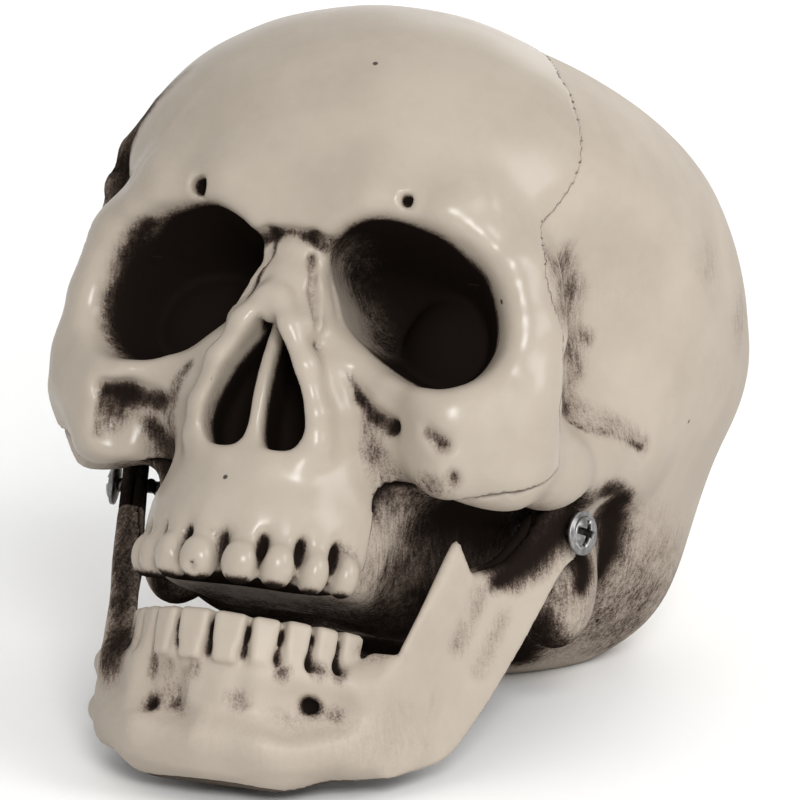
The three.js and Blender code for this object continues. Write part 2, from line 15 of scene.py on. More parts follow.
import bpy
import numpy as np
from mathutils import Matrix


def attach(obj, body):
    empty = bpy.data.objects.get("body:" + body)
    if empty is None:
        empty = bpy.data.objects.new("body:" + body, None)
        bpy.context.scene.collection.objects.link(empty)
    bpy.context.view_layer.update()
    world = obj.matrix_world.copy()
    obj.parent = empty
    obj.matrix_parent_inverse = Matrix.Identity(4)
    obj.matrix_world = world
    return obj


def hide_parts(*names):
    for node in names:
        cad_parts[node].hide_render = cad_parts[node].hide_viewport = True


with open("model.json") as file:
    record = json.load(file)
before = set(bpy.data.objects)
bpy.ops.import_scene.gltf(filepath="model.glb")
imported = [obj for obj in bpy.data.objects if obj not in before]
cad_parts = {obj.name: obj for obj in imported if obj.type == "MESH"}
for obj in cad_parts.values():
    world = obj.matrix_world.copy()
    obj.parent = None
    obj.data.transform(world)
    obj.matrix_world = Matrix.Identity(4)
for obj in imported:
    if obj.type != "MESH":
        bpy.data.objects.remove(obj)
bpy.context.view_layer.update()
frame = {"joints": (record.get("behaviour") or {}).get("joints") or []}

log = logging.getLogger("skull")

Array = np.ndarray
Point = tuple[float, float, float]
Bead = tuple[float, float, float, float]
Tooth = tuple[float, float, float, float, float]
Outline = tuple[tuple[float, float], ...]
Colour = tuple[float, float, float, float]

# HEAD_TILT is in degrees. FIT_GAP is the space between two mouldings, and OUTSIDE lies past the skull's side.
MM = 0.001
FAR = 1.0e3
TINY = 1.0e-9
HEAD_TILT = 26.0
HINGE = np.array(frame["joints"][0]["pos_m"]) / MM
FIT_GAP = 0.3
OUTSIDE = 75.0


def to_part(points: Array) -> Array:
    """Tips points of the skull's frame back by the head's tilt and moves them to the part's hinge.

    Args:
        points: rows of x, y, z in the skull's frame, in millimetres.

    Returns:
        Rows of x, y, z in the part's frame, in metres.
    """
    cos, sin = math.cos(math.radians(HEAD_TILT)), math.sin(math.radians(HEAD_TILT))
    tip = np.array([[1, 0, 0], [0, cos, sin], [0, -sin, cos]])
    return (points @ tip.T + HINGE) * MM


def over_table(y: Array, z: Array) -> Array:
    """Height above the table top of points in the skull's frame."""
    tilt = math.radians(HEAD_TILT)
    return HINGE[2] + z * math.cos(tilt) - y * math.sin(tilt)


def smooth_min(a: Array, b: Array, blend: float) -> Array:
    """The lesser of two fields, rounded over a blend width where they meet."""
    share = np.clip(0.5 + 0.5 * (b - a) / max(blend, TINY), 0, 1)
    return b + (a - b) * share - blend * share * (1 - share)


def hand_waves(x: Array, y: Array, z: Array, height: float = 0.06) -> Array:
    """Slow unevenness of a hand-modelled surface: the sum of three oblique sine waves.

    Args:
        x, y, z: coordinates in the skull's frame, broadcast together.
        height: height of each wave.

    Returns:
        A shift of the field.
    """
    waves = np.sin(0.25 * x + 0.14 * y + 0.19 * z + 1.3) + np.sin(0.16 * y - 0.22 * x + 0.29 * z + 4.1)
    return height * (waves + np.sin(0.11 * x - 0.26 * y + 0.13 * z + 2.2))


def smooth_step(low: float, high: float, value: Array) -> Array:
    """Rises smoothly from 0 at low to 1 at high."""
    t = np.clip((value - low) / (high - low), 0, 1)
    return t * t * (3 - 2 * t)


class Side(Enum):
    """Which half of the skull a form is on."""

    BOTH = auto()
    LEFT = auto()
    RIGHT = auto()

    def across(self, x: Array) -> Array:
        """The distance from the middle plane, towards this side."""
        return {Side.BOTH: np.abs(x), Side.LEFT: x, Side.RIGHT: -x}[self]


class Action(Enum):
    """What a form does to the clay."""

    JOIN = auto()
    CUT = auto()


@dataclass(frozen=True)
class Egg:
    """An egg shape, turned about z."""

    centre: Point
    half: Point
    turn: float = 0.0
    power: float = 2.0

    def local(self, x: Array, y: Array, z: Array) -> tuple[Array, Array, Array]:
        """Coordinates along the egg's own axes, as shares of its half sizes.

        Args:
            x, y, z: coordinates in the skull's frame, broadcast together.

        Returns:
            The three coordinates along the egg's axes.
        """
        dx, dy, dz = x - self.centre[0], y - self.centre[1], z - self.centre[2]
        if self.turn:
            cos, sin = math.cos(math.radians(self.turn)), math.sin(math.radians(self.turn))
            dx, dy = cos * dx + sin * dy, cos * dy - sin * dx
        return dx / self.half[0], dy / self.half[1], dz / self.half[2]

    def distance(self, x: Array, y: Array, z: Array) -> Array:
        """Distance to the egg: (n - 1) over the slope of n, where n is the norm of the shares.

        Args:
            x, y, z: coordinates in the skull's frame, broadcast together.

        Returns:
            The field, negative inside.
        """
        u, v, w = self.local(x, y, z)
        p = self.power
        if p == 2.0:
            norm = np.sqrt(u * u + v * v + w * w)
            slope = np.sqrt((u / self.half[0]) ** 2 + (v / self.half[1]) ** 2 + (w / self.half[2]) ** 2)
            return norm * (norm - 1) / (slope + TINY)
        u, v, w = np.abs(u), np.abs(v), np.abs(w)
        norm = (u**p + v**p + w**p) ** (1 / p) + TINY
        parts = [(a ** (p - 1) / h) ** 2 for a, h in zip((u, v, w), self.half)]
        slope = np.sqrt(parts[0] + parts[1] + parts[2]) / norm ** (p - 1)
        return (norm - 1) / (slope + TINY)

    def share(self, x: Array, y: Array, z: Array) -> Array:
        """How far out points lie, as a share of the egg's half sizes."""
        u, v, w = self.local(x, y, z)
        return np.sqrt(u * u + v * v + w * w)

    def reach(self) -> tuple[Array, Array]:
        """The corners of a box that holds the egg however it is turned."""
        half = np.full(3, max(self.half)) if self.turn else np.array(self.half)
        return np.array(self.centre) - half, np.array(self.centre) + half


@dataclass(frozen=True)
class Rod:
    """A rod of changing radius through beads of x, y, z and radius."""

    beads: tuple[Bead, ...]
    blend: float = 6.0

    def distance(self, x: Array, y: Array, z: Array) -> Array:
        """Distance to the nearest of the rod's tapered links, blended where links meet.

        Args:
            x, y, z: coordinates in the skull's frame, broadcast together.

        Returns:
            The field, negative inside.
        """
        field: Array | None = None
        for off, radius in self.links(x, y, z):
            link = off - radius
            field = link if field is None else smooth_min(field, link, self.blend)
        return field

    def links(self, x: Array, y: Array, z: Array) -> list[tuple[Array, Array]]:
        """For each link, the distance from its axis and its radius at the nearest place on the axis.

        Args:
            x, y, z: coordinates in the skull's frame, broadcast together.

        Returns:
            A pair of arrays for each link.
        """
        found = []
        for a, b in zip(self.beads, self.beads[1:]):
            ex, ey, ez = b[0] - a[0], b[1] - a[1], b[2] - a[2]
            along = (x - a[0]) * ex + (y - a[1]) * ey + (z - a[2]) * ez
            t = np.clip(along / (ex * ex + ey * ey + ez * ez), 0, 1)
            off = (x - a[0] - ex * t) ** 2 + (y - a[1] - ey * t) ** 2 + (z - a[2] - ez * t) ** 2
            found.append((np.sqrt(off), a[3] + (b[3] - a[3]) * t))
        return found

    def share(self, x: Array, y: Array, z: Array) -> Array:
        """How far out points lie, as a share of the rod's radius."""
        return np.min([off / radius for off, radius in self.links(x, y, z)], axis=0)

    def reach(self) -> tuple[Array, Array]:
        """A box that holds every bead.

        Returns:
            The box's low and high corners.
        """
        beads = np.array(self.beads)
        grow = beads[:, 3:] + self.blend / 4
        return (beads[:, :3] - grow).min(0), (beads[:, :3] + grow).max(0)


@dataclass(frozen=True)
class Slab:
    """A rounded block that narrows towards its foot, turned about z."""

    centre: Point
    half: Point
    turn: float = 0.0
    edge: float = 1.4
    taper: float = 0.0

    def distance(self, x: Array, y: Array, z: Array) -> Array:
        """Distance to a box whose half width shrinks by taper from head to foot, with rounded edges.

        Args:
            x, y, z: coordinates in the skull's frame, broadcast together.

        Returns:
            The field, negative inside.
        """
        cos, sin = math.cos(math.radians(self.turn)), math.sin(math.radians(self.turn))
        dx, dy, dz = x - self.centre[0], y - self.centre[1], z - self.centre[2]
        across, deep = cos * dx + sin * dy, cos * dy - sin * dx
        narrow = self.taper * 0.5 * (1 - np.clip(dz / self.half[2], -1, 1))
        qx = np.abs(across) - self.half[0] * (1 - narrow) + self.edge
        qy = np.abs(deep) - self.half[1] + self.edge
        qz = np.abs(dz) - self.half[2] + self.edge
        outside = np.sqrt(np.maximum(qx, 0) ** 2 + np.maximum(qy, 0) ** 2 + np.maximum(qz, 0) ** 2)
        return outside + np.minimum(np.maximum(np.maximum(qx, qy), qz), 0) - self.edge

    def reach(self) -> tuple[Array, Array]:
        """A box that holds the slab however it is turned.

        Returns:
            The box's low and high corners.
        """
        wide = math.hypot(self.half[0], self.half[1])
        half = np.array([wide, wide, self.half[2]])
        return np.array(self.centre) - half, np.array(self.centre) + half


def closed_curve(corners: Outline, steps: int = 8) -> Array:
    """A smooth closed curve through corners: a periodic Catmull-Rom spline.

    Args:
        corners: points that the curve goes through, in order.
        steps: points on each stretch.

    Returns:
        Rows of points along the curve.
    """
    knots = np.array(corners, float)
    before, after, beyond = np.roll(knots, 1, 0), np.roll(knots, -1, 0), np.roll(knots, -2, 0)
    t = (np.arange(steps) / steps)[None, :, None]
    p0, p1, p2, p3 = (k[:, None, :] for k in (before, knots, after, beyond))
    curve = p1 + 0.5 * t * (
        p2 - p0 + t * (2 * p0 - 5 * p1 + 4 * p2 - p3 + t * (3 * p1 - p0 - 3 * p2 + p3))
    )
    return curve.reshape(-1, 2)


def curve_distance(curve: Array, u: Array, v: Array) -> Array:
    """Signed distance to a closed curve in a plane: nearest edge, with the sign from edge crossings.

    Args:
        curve: rows of points along the closed curve.
        u, v: coordinates in the plane, broadcast together.

    Returns:
        The field, negative inside.
    """
    nearest = np.full(np.broadcast_shapes(u.shape, v.shape), FAR)
    inside = np.zeros(nearest.shape, bool)
    for a, b in zip(curve, np.roll(curve, -1, 0)):
        edge = b - a
        t = np.clip(((u - a[0]) * edge[0] + (v - a[1]) * edge[1]) / (edge @ edge + TINY), 0, 1)
        gap = np.sqrt((u - a[0] - edge[0] * t) ** 2 + (v - a[1] - edge[1] * t) ** 2)
        nearest = np.minimum(nearest, gap)
        if a[1] != b[1]:
            crossing = a[0] + (v - a[1]) * edge[0] / edge[1]
            inside ^= ((a[1] > v) != (b[1] > v)) & (u < crossing)
    return np.where(inside, -nearest, nearest)


@dataclass(frozen=True)
class Well:
    """A hole with a smooth outline in front view, sunk back to a floor.

    On its way back it may drift towards the middle of the face and narrow. The corner is the width of the
    blend between wall and floor, and the mouth is how far in front of the outline the hole starts.
    """

    outline: Outline
    front: float
    floor: float
    corner: float
    steps: int
    drift: float = 0.0
    narrow: float = 0.0
    mouth: float = 0.0

    def distance(self, x: Array, y: Array, z: Array) -> Array:
        """The outline's distance plus a margin that grows with the square of the depth, met by the floor.

        Args:
            x, y, z: coordinates in the skull's frame, broadcast together.

        Returns:
            The field, negative inside.
        """
        past = y - self.front
        deep = np.maximum(past / (self.floor - self.front), 0)
        wall = curve_distance(closed_curve(self.outline, self.steps), x + self.drift * past, z)
        return -smooth_min(-wall - self.narrow * deep**2, self.floor - y, self.corner)

    def reach(self) -> tuple[Array, Array]:
        """A box from the hole's mouth to its floor.

        Returns:
            The box's low and high corners.
        """
        outline = np.array(self.outline)
        low, high = outline.min(0), outline.max(0)
        slide = self.drift * (self.floor - self.front)
        near = np.array([low[0] - slide, self.front - self.mouth, low[1]])
        return near, np.array([high[0] + slide, self.floor, high[1]])


@dataclass(frozen=True)
class Plate:
    """A side plate of the jaw: an outline in side view, splayed and leaned, with rounded edges."""

    outline: Outline
    span: float
    splay: float
    lean: float
    half: float
    edge: float
    swells: tuple[tuple[float, float, float, float], ...] = ()

    def middle(self, y: Array, z: Array) -> Array:
        """Where the plate's middle lies along x."""
        return self.span + math.tan(math.radians(self.splay)) * y + math.tan(math.radians(self.lean)) * z

    def distance(self, x: Array, y: Array, z: Array) -> Array:
        """A rounded corner between the outline's distance and the thickness on each side.

        Args:
            x, y, z: coordinates in the skull's frame, broadcast together.

        Returns:
            The field, negative inside.
        """
        rim = curve_distance(closed_curve(self.outline), y, z) + self.edge
        thick = self.half + np.zeros_like(rim)
        for cy, cz, radius, rise in self.swells:
            thick = thick + rise * np.exp(-((y - cy) ** 2 + (z - cz) ** 2) / radius**2)
        face = (np.abs(x - self.middle(y, z)) - thick) * math.cos(math.radians(self.splay)) + self.edge
        corner = np.sqrt(np.maximum(rim, 0) ** 2 + np.maximum(face, 0) ** 2)
        return corner + np.minimum(np.maximum(rim, face), 0) - self.edge

    def reach(self) -> tuple[Array, Array]:
        """A box that holds the plate.

        Returns:
            The box's low and high corners.
        """
        outline = np.array(self.outline)
        middle = self.middle(outline[:, 0], outline[:, 1])
        low, high = outline.min(0), outline.max(0)
        grow = 2 * self.half
        return np.array([middle.min() - grow, *low]), np.array([middle.max() + grow, *high])


@dataclass(frozen=True)
class Drum:
    """A round bar along x between two values of x."""

    radius: float
    near: float
    far: float

    def distance(self, x: Array, y: Array, z: Array) -> Array:
        """The greater of the distance past the round side and past either end."""
        return np.maximum(np.sqrt(y * y + z * z) - self.radius, np.maximum(self.near - x, x - self.far))

    def reach(self) -> tuple[Array, Array]:
        """The corners of the bar's box."""
        r = self.radius
        return np.array([self.near, -r, -r]), np.array([self.far, r, r])


Form = Egg | Rod | Slab | Well | Plate | Drum


@dataclass(frozen=True)
class Step:
    """One form joined to the clay or cut out of it, with the width of the blend around it."""

    form: Form
    blend: float
    action: Action
    side: Side


def join(form: Form, blend: float, side: Side = Side.BOTH) -> Step:
    """A step that adds a form to the clay."""
    return Step(form, blend, Action.JOIN, side)


def cut(form: Form, blend: float, side: Side = Side.BOTH) -> Step:
    """A step that takes a form out of the clay."""
    return Step(form, blend, Action.CUT, side)


@dataclass(frozen=True)
class Smear:
    """A patch of dark wash, or of painted shade, on the surface: an egg or a rod that fades to its edge."""

    patch: Egg | Rod
    strength: float
    side: Side
    edge: float = 1.5
    core: float = 0.1

    def amount(self, points: Array) -> Array:
        """How much wash the patch leaves at points of the skull's frame."""
        x, y, z = points.T
        return self.strength * smooth_step(self.edge, self.core, self.patch.share(self.side.across(x), y, z))


def dab(strength: float, side: Side, centre: Point, half: Point) -> Smear:
    """A smear with an egg's outline."""
    return Smear(Egg(centre, half), strength, side)


def stroke(strength: float, side: Side, *beads: Bead) -> Smear:
    """A smear drawn along beads of x, y, z and radius."""
    return Smear(Rod(beads), strength, side)


def layered(coats: Sequence[Array], smears: Sequence[Smear], points: Array) -> Array:
    """Lays coats and smears of wash over each other: what is left bare is the product of the bare shares.

    Args:
        coats: amounts of wash at each point, from 0 to 1.
        smears: patches of wash; one of negative strength wipes wash away.
        points: rows of x, y, z in the skull's frame.

    Returns:
        The amount of wash at each point.
    """
    bare = np.ones(len(points))
    for coat in coats:
        bare = bare * (1 - np.clip(coat, 0, 1))
    wiped = np.zeros(len(points))
    for smear in smears:
        amount = smear.amount(points)
        if smear.strength > 0:
            bare = bare * (1 - np.clip(amount, 0, 1))
        else:
            wiped = np.maximum(wiped, -amount)
    return (1 - bare) * (1 - np.clip(wiped, 0, 1))


class Clay:
    """A lattice of field values that forms are joined to and cut out of."""

    def __init__(self, low: Point, high: Point, cell: float, skin: float) -> None:
        """Lays out the lattice, empty.

        Args:
            low, high: corners of the lattice in the skull's frame.
            cell: distance between lattice points.
            skin: depth below the surface at which the field still has to be right.
        """
        counts = [int(math.ceil((b - a) / cell)) + 1 for a, b in zip(low, high)]
        self.low, self.cell, self.skin = np.array(low, float), cell, skin
        axes = [a + cell * np.arange(n) for a, n in zip(low, counts)]
        self.axes = [axis.astype(np.float32) for axis in axes]
        self.value = np.full(counts, FAR, np.float32)

    def grid(self) -> tuple[Array, Array, Array]:
        """The lattice's x, y and z, shaped to broadcast together."""
        return self.axes[0][:, None, None], self.axes[1][None, :, None], self.axes[2][None, None, :]

    def apply(self, step: Step) -> None:
        """Joins or cuts one form, inside the box that it can change.

        Args:
            step: the form, its action and its blend.
        """
        low, high = step.form.reach()
        grow = step.blend + self.skin + self.cell
        low, high = low - grow, high + grow
        if step.side is Side.BOTH:
            low[0] = -high[0]
        elif step.side is Side.RIGHT:
            low[0], high[0] = -high[0], -low[0]
        spans = [slice(*np.searchsorted(axis, (a, b))) for axis, a, b in zip(self.axes, low, high)]
        if any(span.start >= span.stop for span in spans):
            return
        x, y, z = (part[tuple(spans[i] if i == k else slice(None) for i in range(3))]
                   for k, part in enumerate(self.grid()))
        field = step.form.distance(step.side.across(x), y, z)
        window = self.value[tuple(spans)]
        if step.action is Action.JOIN:
            self.value[tuple(spans)] = smooth_min(window, field, step.blend)
        else:
            self.value[tuple(spans)] = -smooth_min(-window, field, step.blend)

    def sculpt(self, steps: Sequence[Step]) -> "Clay":
        """Applies steps.

        Args:
            steps: what is joined and cut, in order.

        Returns:
            The clay.
        """
        for step in steps:
            self.apply(step)
        return self

    def sample(self, values: Array, points: Array) -> Array:
        """Reads a lattice of values at points, mixing the eight values around each.

        Args:
            values: an array of the lattice's shape.
            points: rows of x, y, z in the skull's frame.

        Returns:
            One value for each point.
        """
        place = (points - self.low) / self.cell
        place = np.clip(place, 0, np.array(values.shape) - 1.001)
        base = place.astype(np.int32)
        t = place - base
        total = np.zeros(len(points))
        for corner in np.ndindex(2, 2, 2):
            weight = np.prod(np.where(corner, t, 1 - t), axis=1)
            i, j, k = (base + corner).T
            total += weight * values[i, j, k]
        return total

    def hollowness(self, radius: float) -> Array:
        """How enclosed the surface is: the share of clay in a soft ball, above or below one half.

        Args:
            radius: size of the ball.

        Returns:
            A lattice of values from -1, on a thin ridge, to 1, deep in a crease.
        """
        solid = np.clip(0.5 - self.value / self.cell, 0, 1)
        reach = max(1, round(radius / self.cell))
        for _ in range(2):
            for axis in range(3):
                pad = [(reach + 1, reach) if a == axis else (0, 0) for a in range(3)]
                total = np.cumsum(np.pad(solid, pad, mode="edge"), axis=axis, dtype=np.float64)
                count = solid.shape[axis]
                upper = np.take(total, np.arange(count) + 2 * reach + 1, axis=axis)
                lower = np.take(total, np.arange(count), axis=axis)
                solid = ((upper - lower) / (2 * reach + 1)).astype(np.float32)
        return 2 * solid - 1


def skin_of(field: Array, clay: Clay, polish: int = 2) -> tuple[Array, Array]:
    """The closed skin where a field is zero, as a net of quads.

    Each lattice cell that the surface crosses gets a point at the mean of its edge crossings, and each
    lattice edge that it crosses gets a quad through the four cells around it. The points are then evened
    out towards their neighbours and drawn back to the surface along the field's slope.

    Args:
        field: values on the clay's lattice, negative inside.
        clay: the lattice.
        polish: how many times the points are evened out.

    Returns:
        Rows of points in the skull's frame, and rows of four indices.
    """
    inside = field < 0
    corners = np.array(list(np.ndindex(2, 2, 2)))
    n = np.array(field.shape) - 1
    count = sum(inside[a : a + n[0], b : b + n[1], c : c + n[2]].astype(np.int8) for a, b, c in corners)
    crossed = (count > 0) & (count < 8)
    cells = np.argwhere(crossed)
    index = np.full(crossed.shape, -1, np.int32)
    index[crossed] = np.arange(len(cells), dtype=np.int32)
    around = cells[:, None, :] + corners[None]
    at = field[around[..., 0], around[..., 1], around[..., 2]].astype(np.float64)
    pairs = [(i, j) for i in range(8) for j in range(i + 1, 8) if np.abs(corners[i] - corners[j]).sum() == 1]
    first, second = (np.array(column) for column in zip(*pairs))
    a, b = at[:, first], at[:, second]
    meets = (a < 0) != (b < 0)
    t = np.where(meets, a / np.where(meets, a - b, 1), 0)
    spots = corners[first][None] + t[..., None] * (corners[second] - corners[first])[None]
    middle = (spots * meets[..., None]).sum(1) / meets.sum(1)[:, None]
    points = clay.low + (cells + middle) * clay.cell
    quads = []
    for axis in range(3):
        s, u = np.eye(3, dtype=int)[[(axis + 1) % 3, (axis + 2) % 3]]
        here = inside[tuple(slice(0, -1) if k == axis else slice(1, -1) for k in range(3))]
        there = inside[tuple(slice(1, None) if k == axis else slice(1, -1) for k in range(3))]
        spot = np.argwhere(here != there) + 1 - np.eye(3, dtype=int)[axis]
        turns = ((1, 1), (0, 1), (0, 0), (1, 0))
        ring = np.stack([index[tuple((spot - m * s - k * u).T)] for m, k in turns], 1)
        outward = inside[tuple(spot.T)]
        quads.append(np.where(outward[:, None], ring, ring[:, ::-1]))
    quads = np.concatenate(quads)
    return relaxed(points, quads, field, clay, polish), quads


def relaxed(points: Array, quads: Array, field: Array, clay: Clay, rounds: int) -> Array:
    """Evens points out towards their neighbours and draws them back to the field's zero.

    Args:
        points: rows of points in the skull's frame.
        quads: rows of four indices.
        field: values on the clay's lattice.
        clay: the lattice.
        rounds: how many times.

    Returns:
        The moved points.
    """
    start = quads.ravel()
    end = np.roll(quads, -1, 1).ravel()
    links = np.bincount(start, minlength=len(points)) + np.bincount(end, minlength=len(points))
    slopes = np.gradient(field, clay.cell)
    for _ in range(rounds):
        mean = np.empty_like(points)
        for k in range(3):
            total = np.bincount(start, points[end, k], len(points))
            total += np.bincount(end, points[start, k], len(points))
            mean[:, k] = total / np.maximum(links, 1)
        points = 0.5 * points + 0.5 * mean
        slope = np.stack([clay.sample(s, points) for s in slopes], 1)
        steep = (slope * slope).sum(1)
        pull = clay.sample(field, points) / np.maximum(steep, 0.2)
        points = points - np.clip(pull, -clay.cell / 2, clay.cell / 2)[:, None] * slope
    return points


def mesh_piece(name: str, points: Array, quads: Array, marks: dict[str, Array]) -> bpy.types.Object:
    """Makes a smooth-shaded object from points in the skull's frame, with a value at each point.

    Args:
        name: the piece's name.
        points: rows of x, y, z in millimetres.
        quads: rows of four indices.
        marks: named values at the points, which the materials read.

    Returns:
        The object, linked to the scene.
    """
    mesh = bpy.data.meshes.new(name)
    mesh.vertices.add(len(points))
    mesh.vertices.foreach_set("co", to_part(points).astype(np.float32).ravel())
    mesh.loops.add(quads.size)
    mesh.loops.foreach_set("vertex_index", quads.astype(np.int32).ravel())
    mesh.polygons.add(len(quads))
    mesh.polygons.foreach_set("loop_start", np.arange(0, quads.size, 4, dtype=np.int32))
    mesh.update(calc_edges=True)
    mesh.validate()
    mesh.shade_smooth()
    for mark, values in marks.items():
        layer = mesh.attributes.new(mark, "FLOAT", "POINT")
        layer.data.foreach_set("value", values.astype(np.float32))
    piece = bpy.data.objects.new(name, mesh)
    bpy.context.scene.collection.objects.link(piece)
    return piece


def install(piece: bpy.types.Object, body: str, node: str, finish: bpy.types.Material) -> None:
    """Gives a piece its finish and says which CAD node it stands for and what it moves with.

    Args:
        piece: the finished mesh object.
        body: the CAD body that it rides on.
        node: the CAD node that it replaces.
        finish: the material.
    """
    piece.data.materials.append(finish)
    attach(piece, body)
    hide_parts(node)
    triangles = sum(len(p.vertices) - 2 for p in piece.data.polygons)
    log.info("%s: %d triangles, replaces %s", piece.name, triangles, node)


@dataclass(frozen=True)
class WashRule:
    """Where wash gathers by itself: in what is cut into a form, in fine creases and in broad hollows.

    Each range goes from the value at which wash starts to the one at which it is full, in millimetres for
    the depth and in hollowness for the others. A share is how much wash lies there when it is full.
    """

    depth: tuple[float, float]
    crease: tuple[float, float]
    crease_share: float
    hollow: tuple[float, float]
    hollow_share: float
    crease_ball: float = 1.8
    hollow_ball: float = 5.0

    def coats(self, clay: Clay, hull: Array, points: Array) -> tuple[list[Array], Array]:
        """Amounts of wash in cuts, creases and hollows, and how sharp the ridges are.

        Args:
            clay: the finished clay.
            hull: the clay's values before its hollows were cut.
            points: rows of x, y, z in the skull's frame.

        Returns:
            The three coats, and the sharpness of ridges from 0 to 1.
        """
        fine = clay.sample(clay.hollowness(self.crease_ball), points)
        broad = clay.sample(clay.hollowness(self.hollow_ball), points)
        coats = [
            smooth_step(*self.depth, -clay.sample(hull, points)),
            self.crease_share * smooth_step(*self.crease, fine),
            self.hollow_share * smooth_step(*self.hollow, broad),
        ]
        return coats, np.clip(-fine, 0, 1)


def arch_turns(row: Sequence[Tooth]) -> Array:
    """The angle about z at which each tooth of a half row faces, from the way the row bends.

    Args:
        row: teeth as x, y, z, half width and half height, from the middle outwards.

    Returns:
        Angles in degrees.
    """
    x, y = np.array(row)[:, :2].T
    x, y = np.concatenate([[-x[0]], x]), np.concatenate([[y[0]], y])
    return np.degrees(np.arctan2(np.gradient(y), np.gradient(x)))[1:]


def between_teeth(row: Sequence[Tooth]) -> tuple[Array, Array, Array]:
    """The places where neighbouring teeth of a half row meet, the first one in the middle of the face.

    Args:
        row: teeth as x, y, z, half width and half height, from the middle outwards.

    Returns:
        Points, the directions out of the mouth there, and the angles in degrees at which the row faces.
    """
    turns = arch_turns(row)
    turns = np.concatenate([[-turns[0]], turns])
    teeth = np.array([(-row[0][0], *row[0][1:]), *row])[:, :3]
    way = (turns[:-1] + turns[1:]) / 2
    angle = np.radians(way)
    out = np.stack([np.sin(angle), -np.cos(angle), np.zeros_like(angle)], 1)
    return (teeth[:-1] + teeth[1:]) / 2, out, way


@dataclass(frozen=True)
class GapCut:
    """An egg cut in between neighbouring teeth: its half sizes, and how far ahead and up of them it lies."""

    half: Point
    ahead: float
    up: float
    blend: float


def gap_cuts(row: Sequence[Tooth], shapes: Sequence[GapCut]) -> list[Step]:
    """Cuts between the neighbouring teeth of a half row, from its front.

    Args:
        row: teeth as x, y, z, half width and half height, from the middle outwards.
        shapes: what is cut at each place.

    Returns:
        The steps, in order.
    """
    steps = []
    for place, out, way in zip(*between_teeth(row)):
        for shape in shapes:
            centre = tuple(place + shape.ahead * out + (0, 0, shape.up))
            steps.append(cut(Egg(centre, shape.half, turn=way), shape.blend))
    return steps


@dataclass(frozen=True)
class Root:
    """The ridge over a tooth's root: where its two ends lie, and their shares of the tooth's width."""

    back: tuple[float, float]
    up: tuple[float, float]
    width: tuple[float, float]
    draw_in: float
    blend: float = 2.0

    def ridge(self, tooth: Tooth) -> Rod:
        """The ridge of one tooth, drawn in towards the middle at its far end.

        Args:
            tooth: x, y, z, half width and half height.

        Returns:
            The rod.
        """
        x, y, z, wide, _ = tooth
        near = (x, y + self.back[0], z + self.up[0], self.width[0] * wide)
        far = (self.draw_in * x, y + self.back[1], z + self.up[1], self.width[1] * wide)
        return Rod((near, far), self.blend)


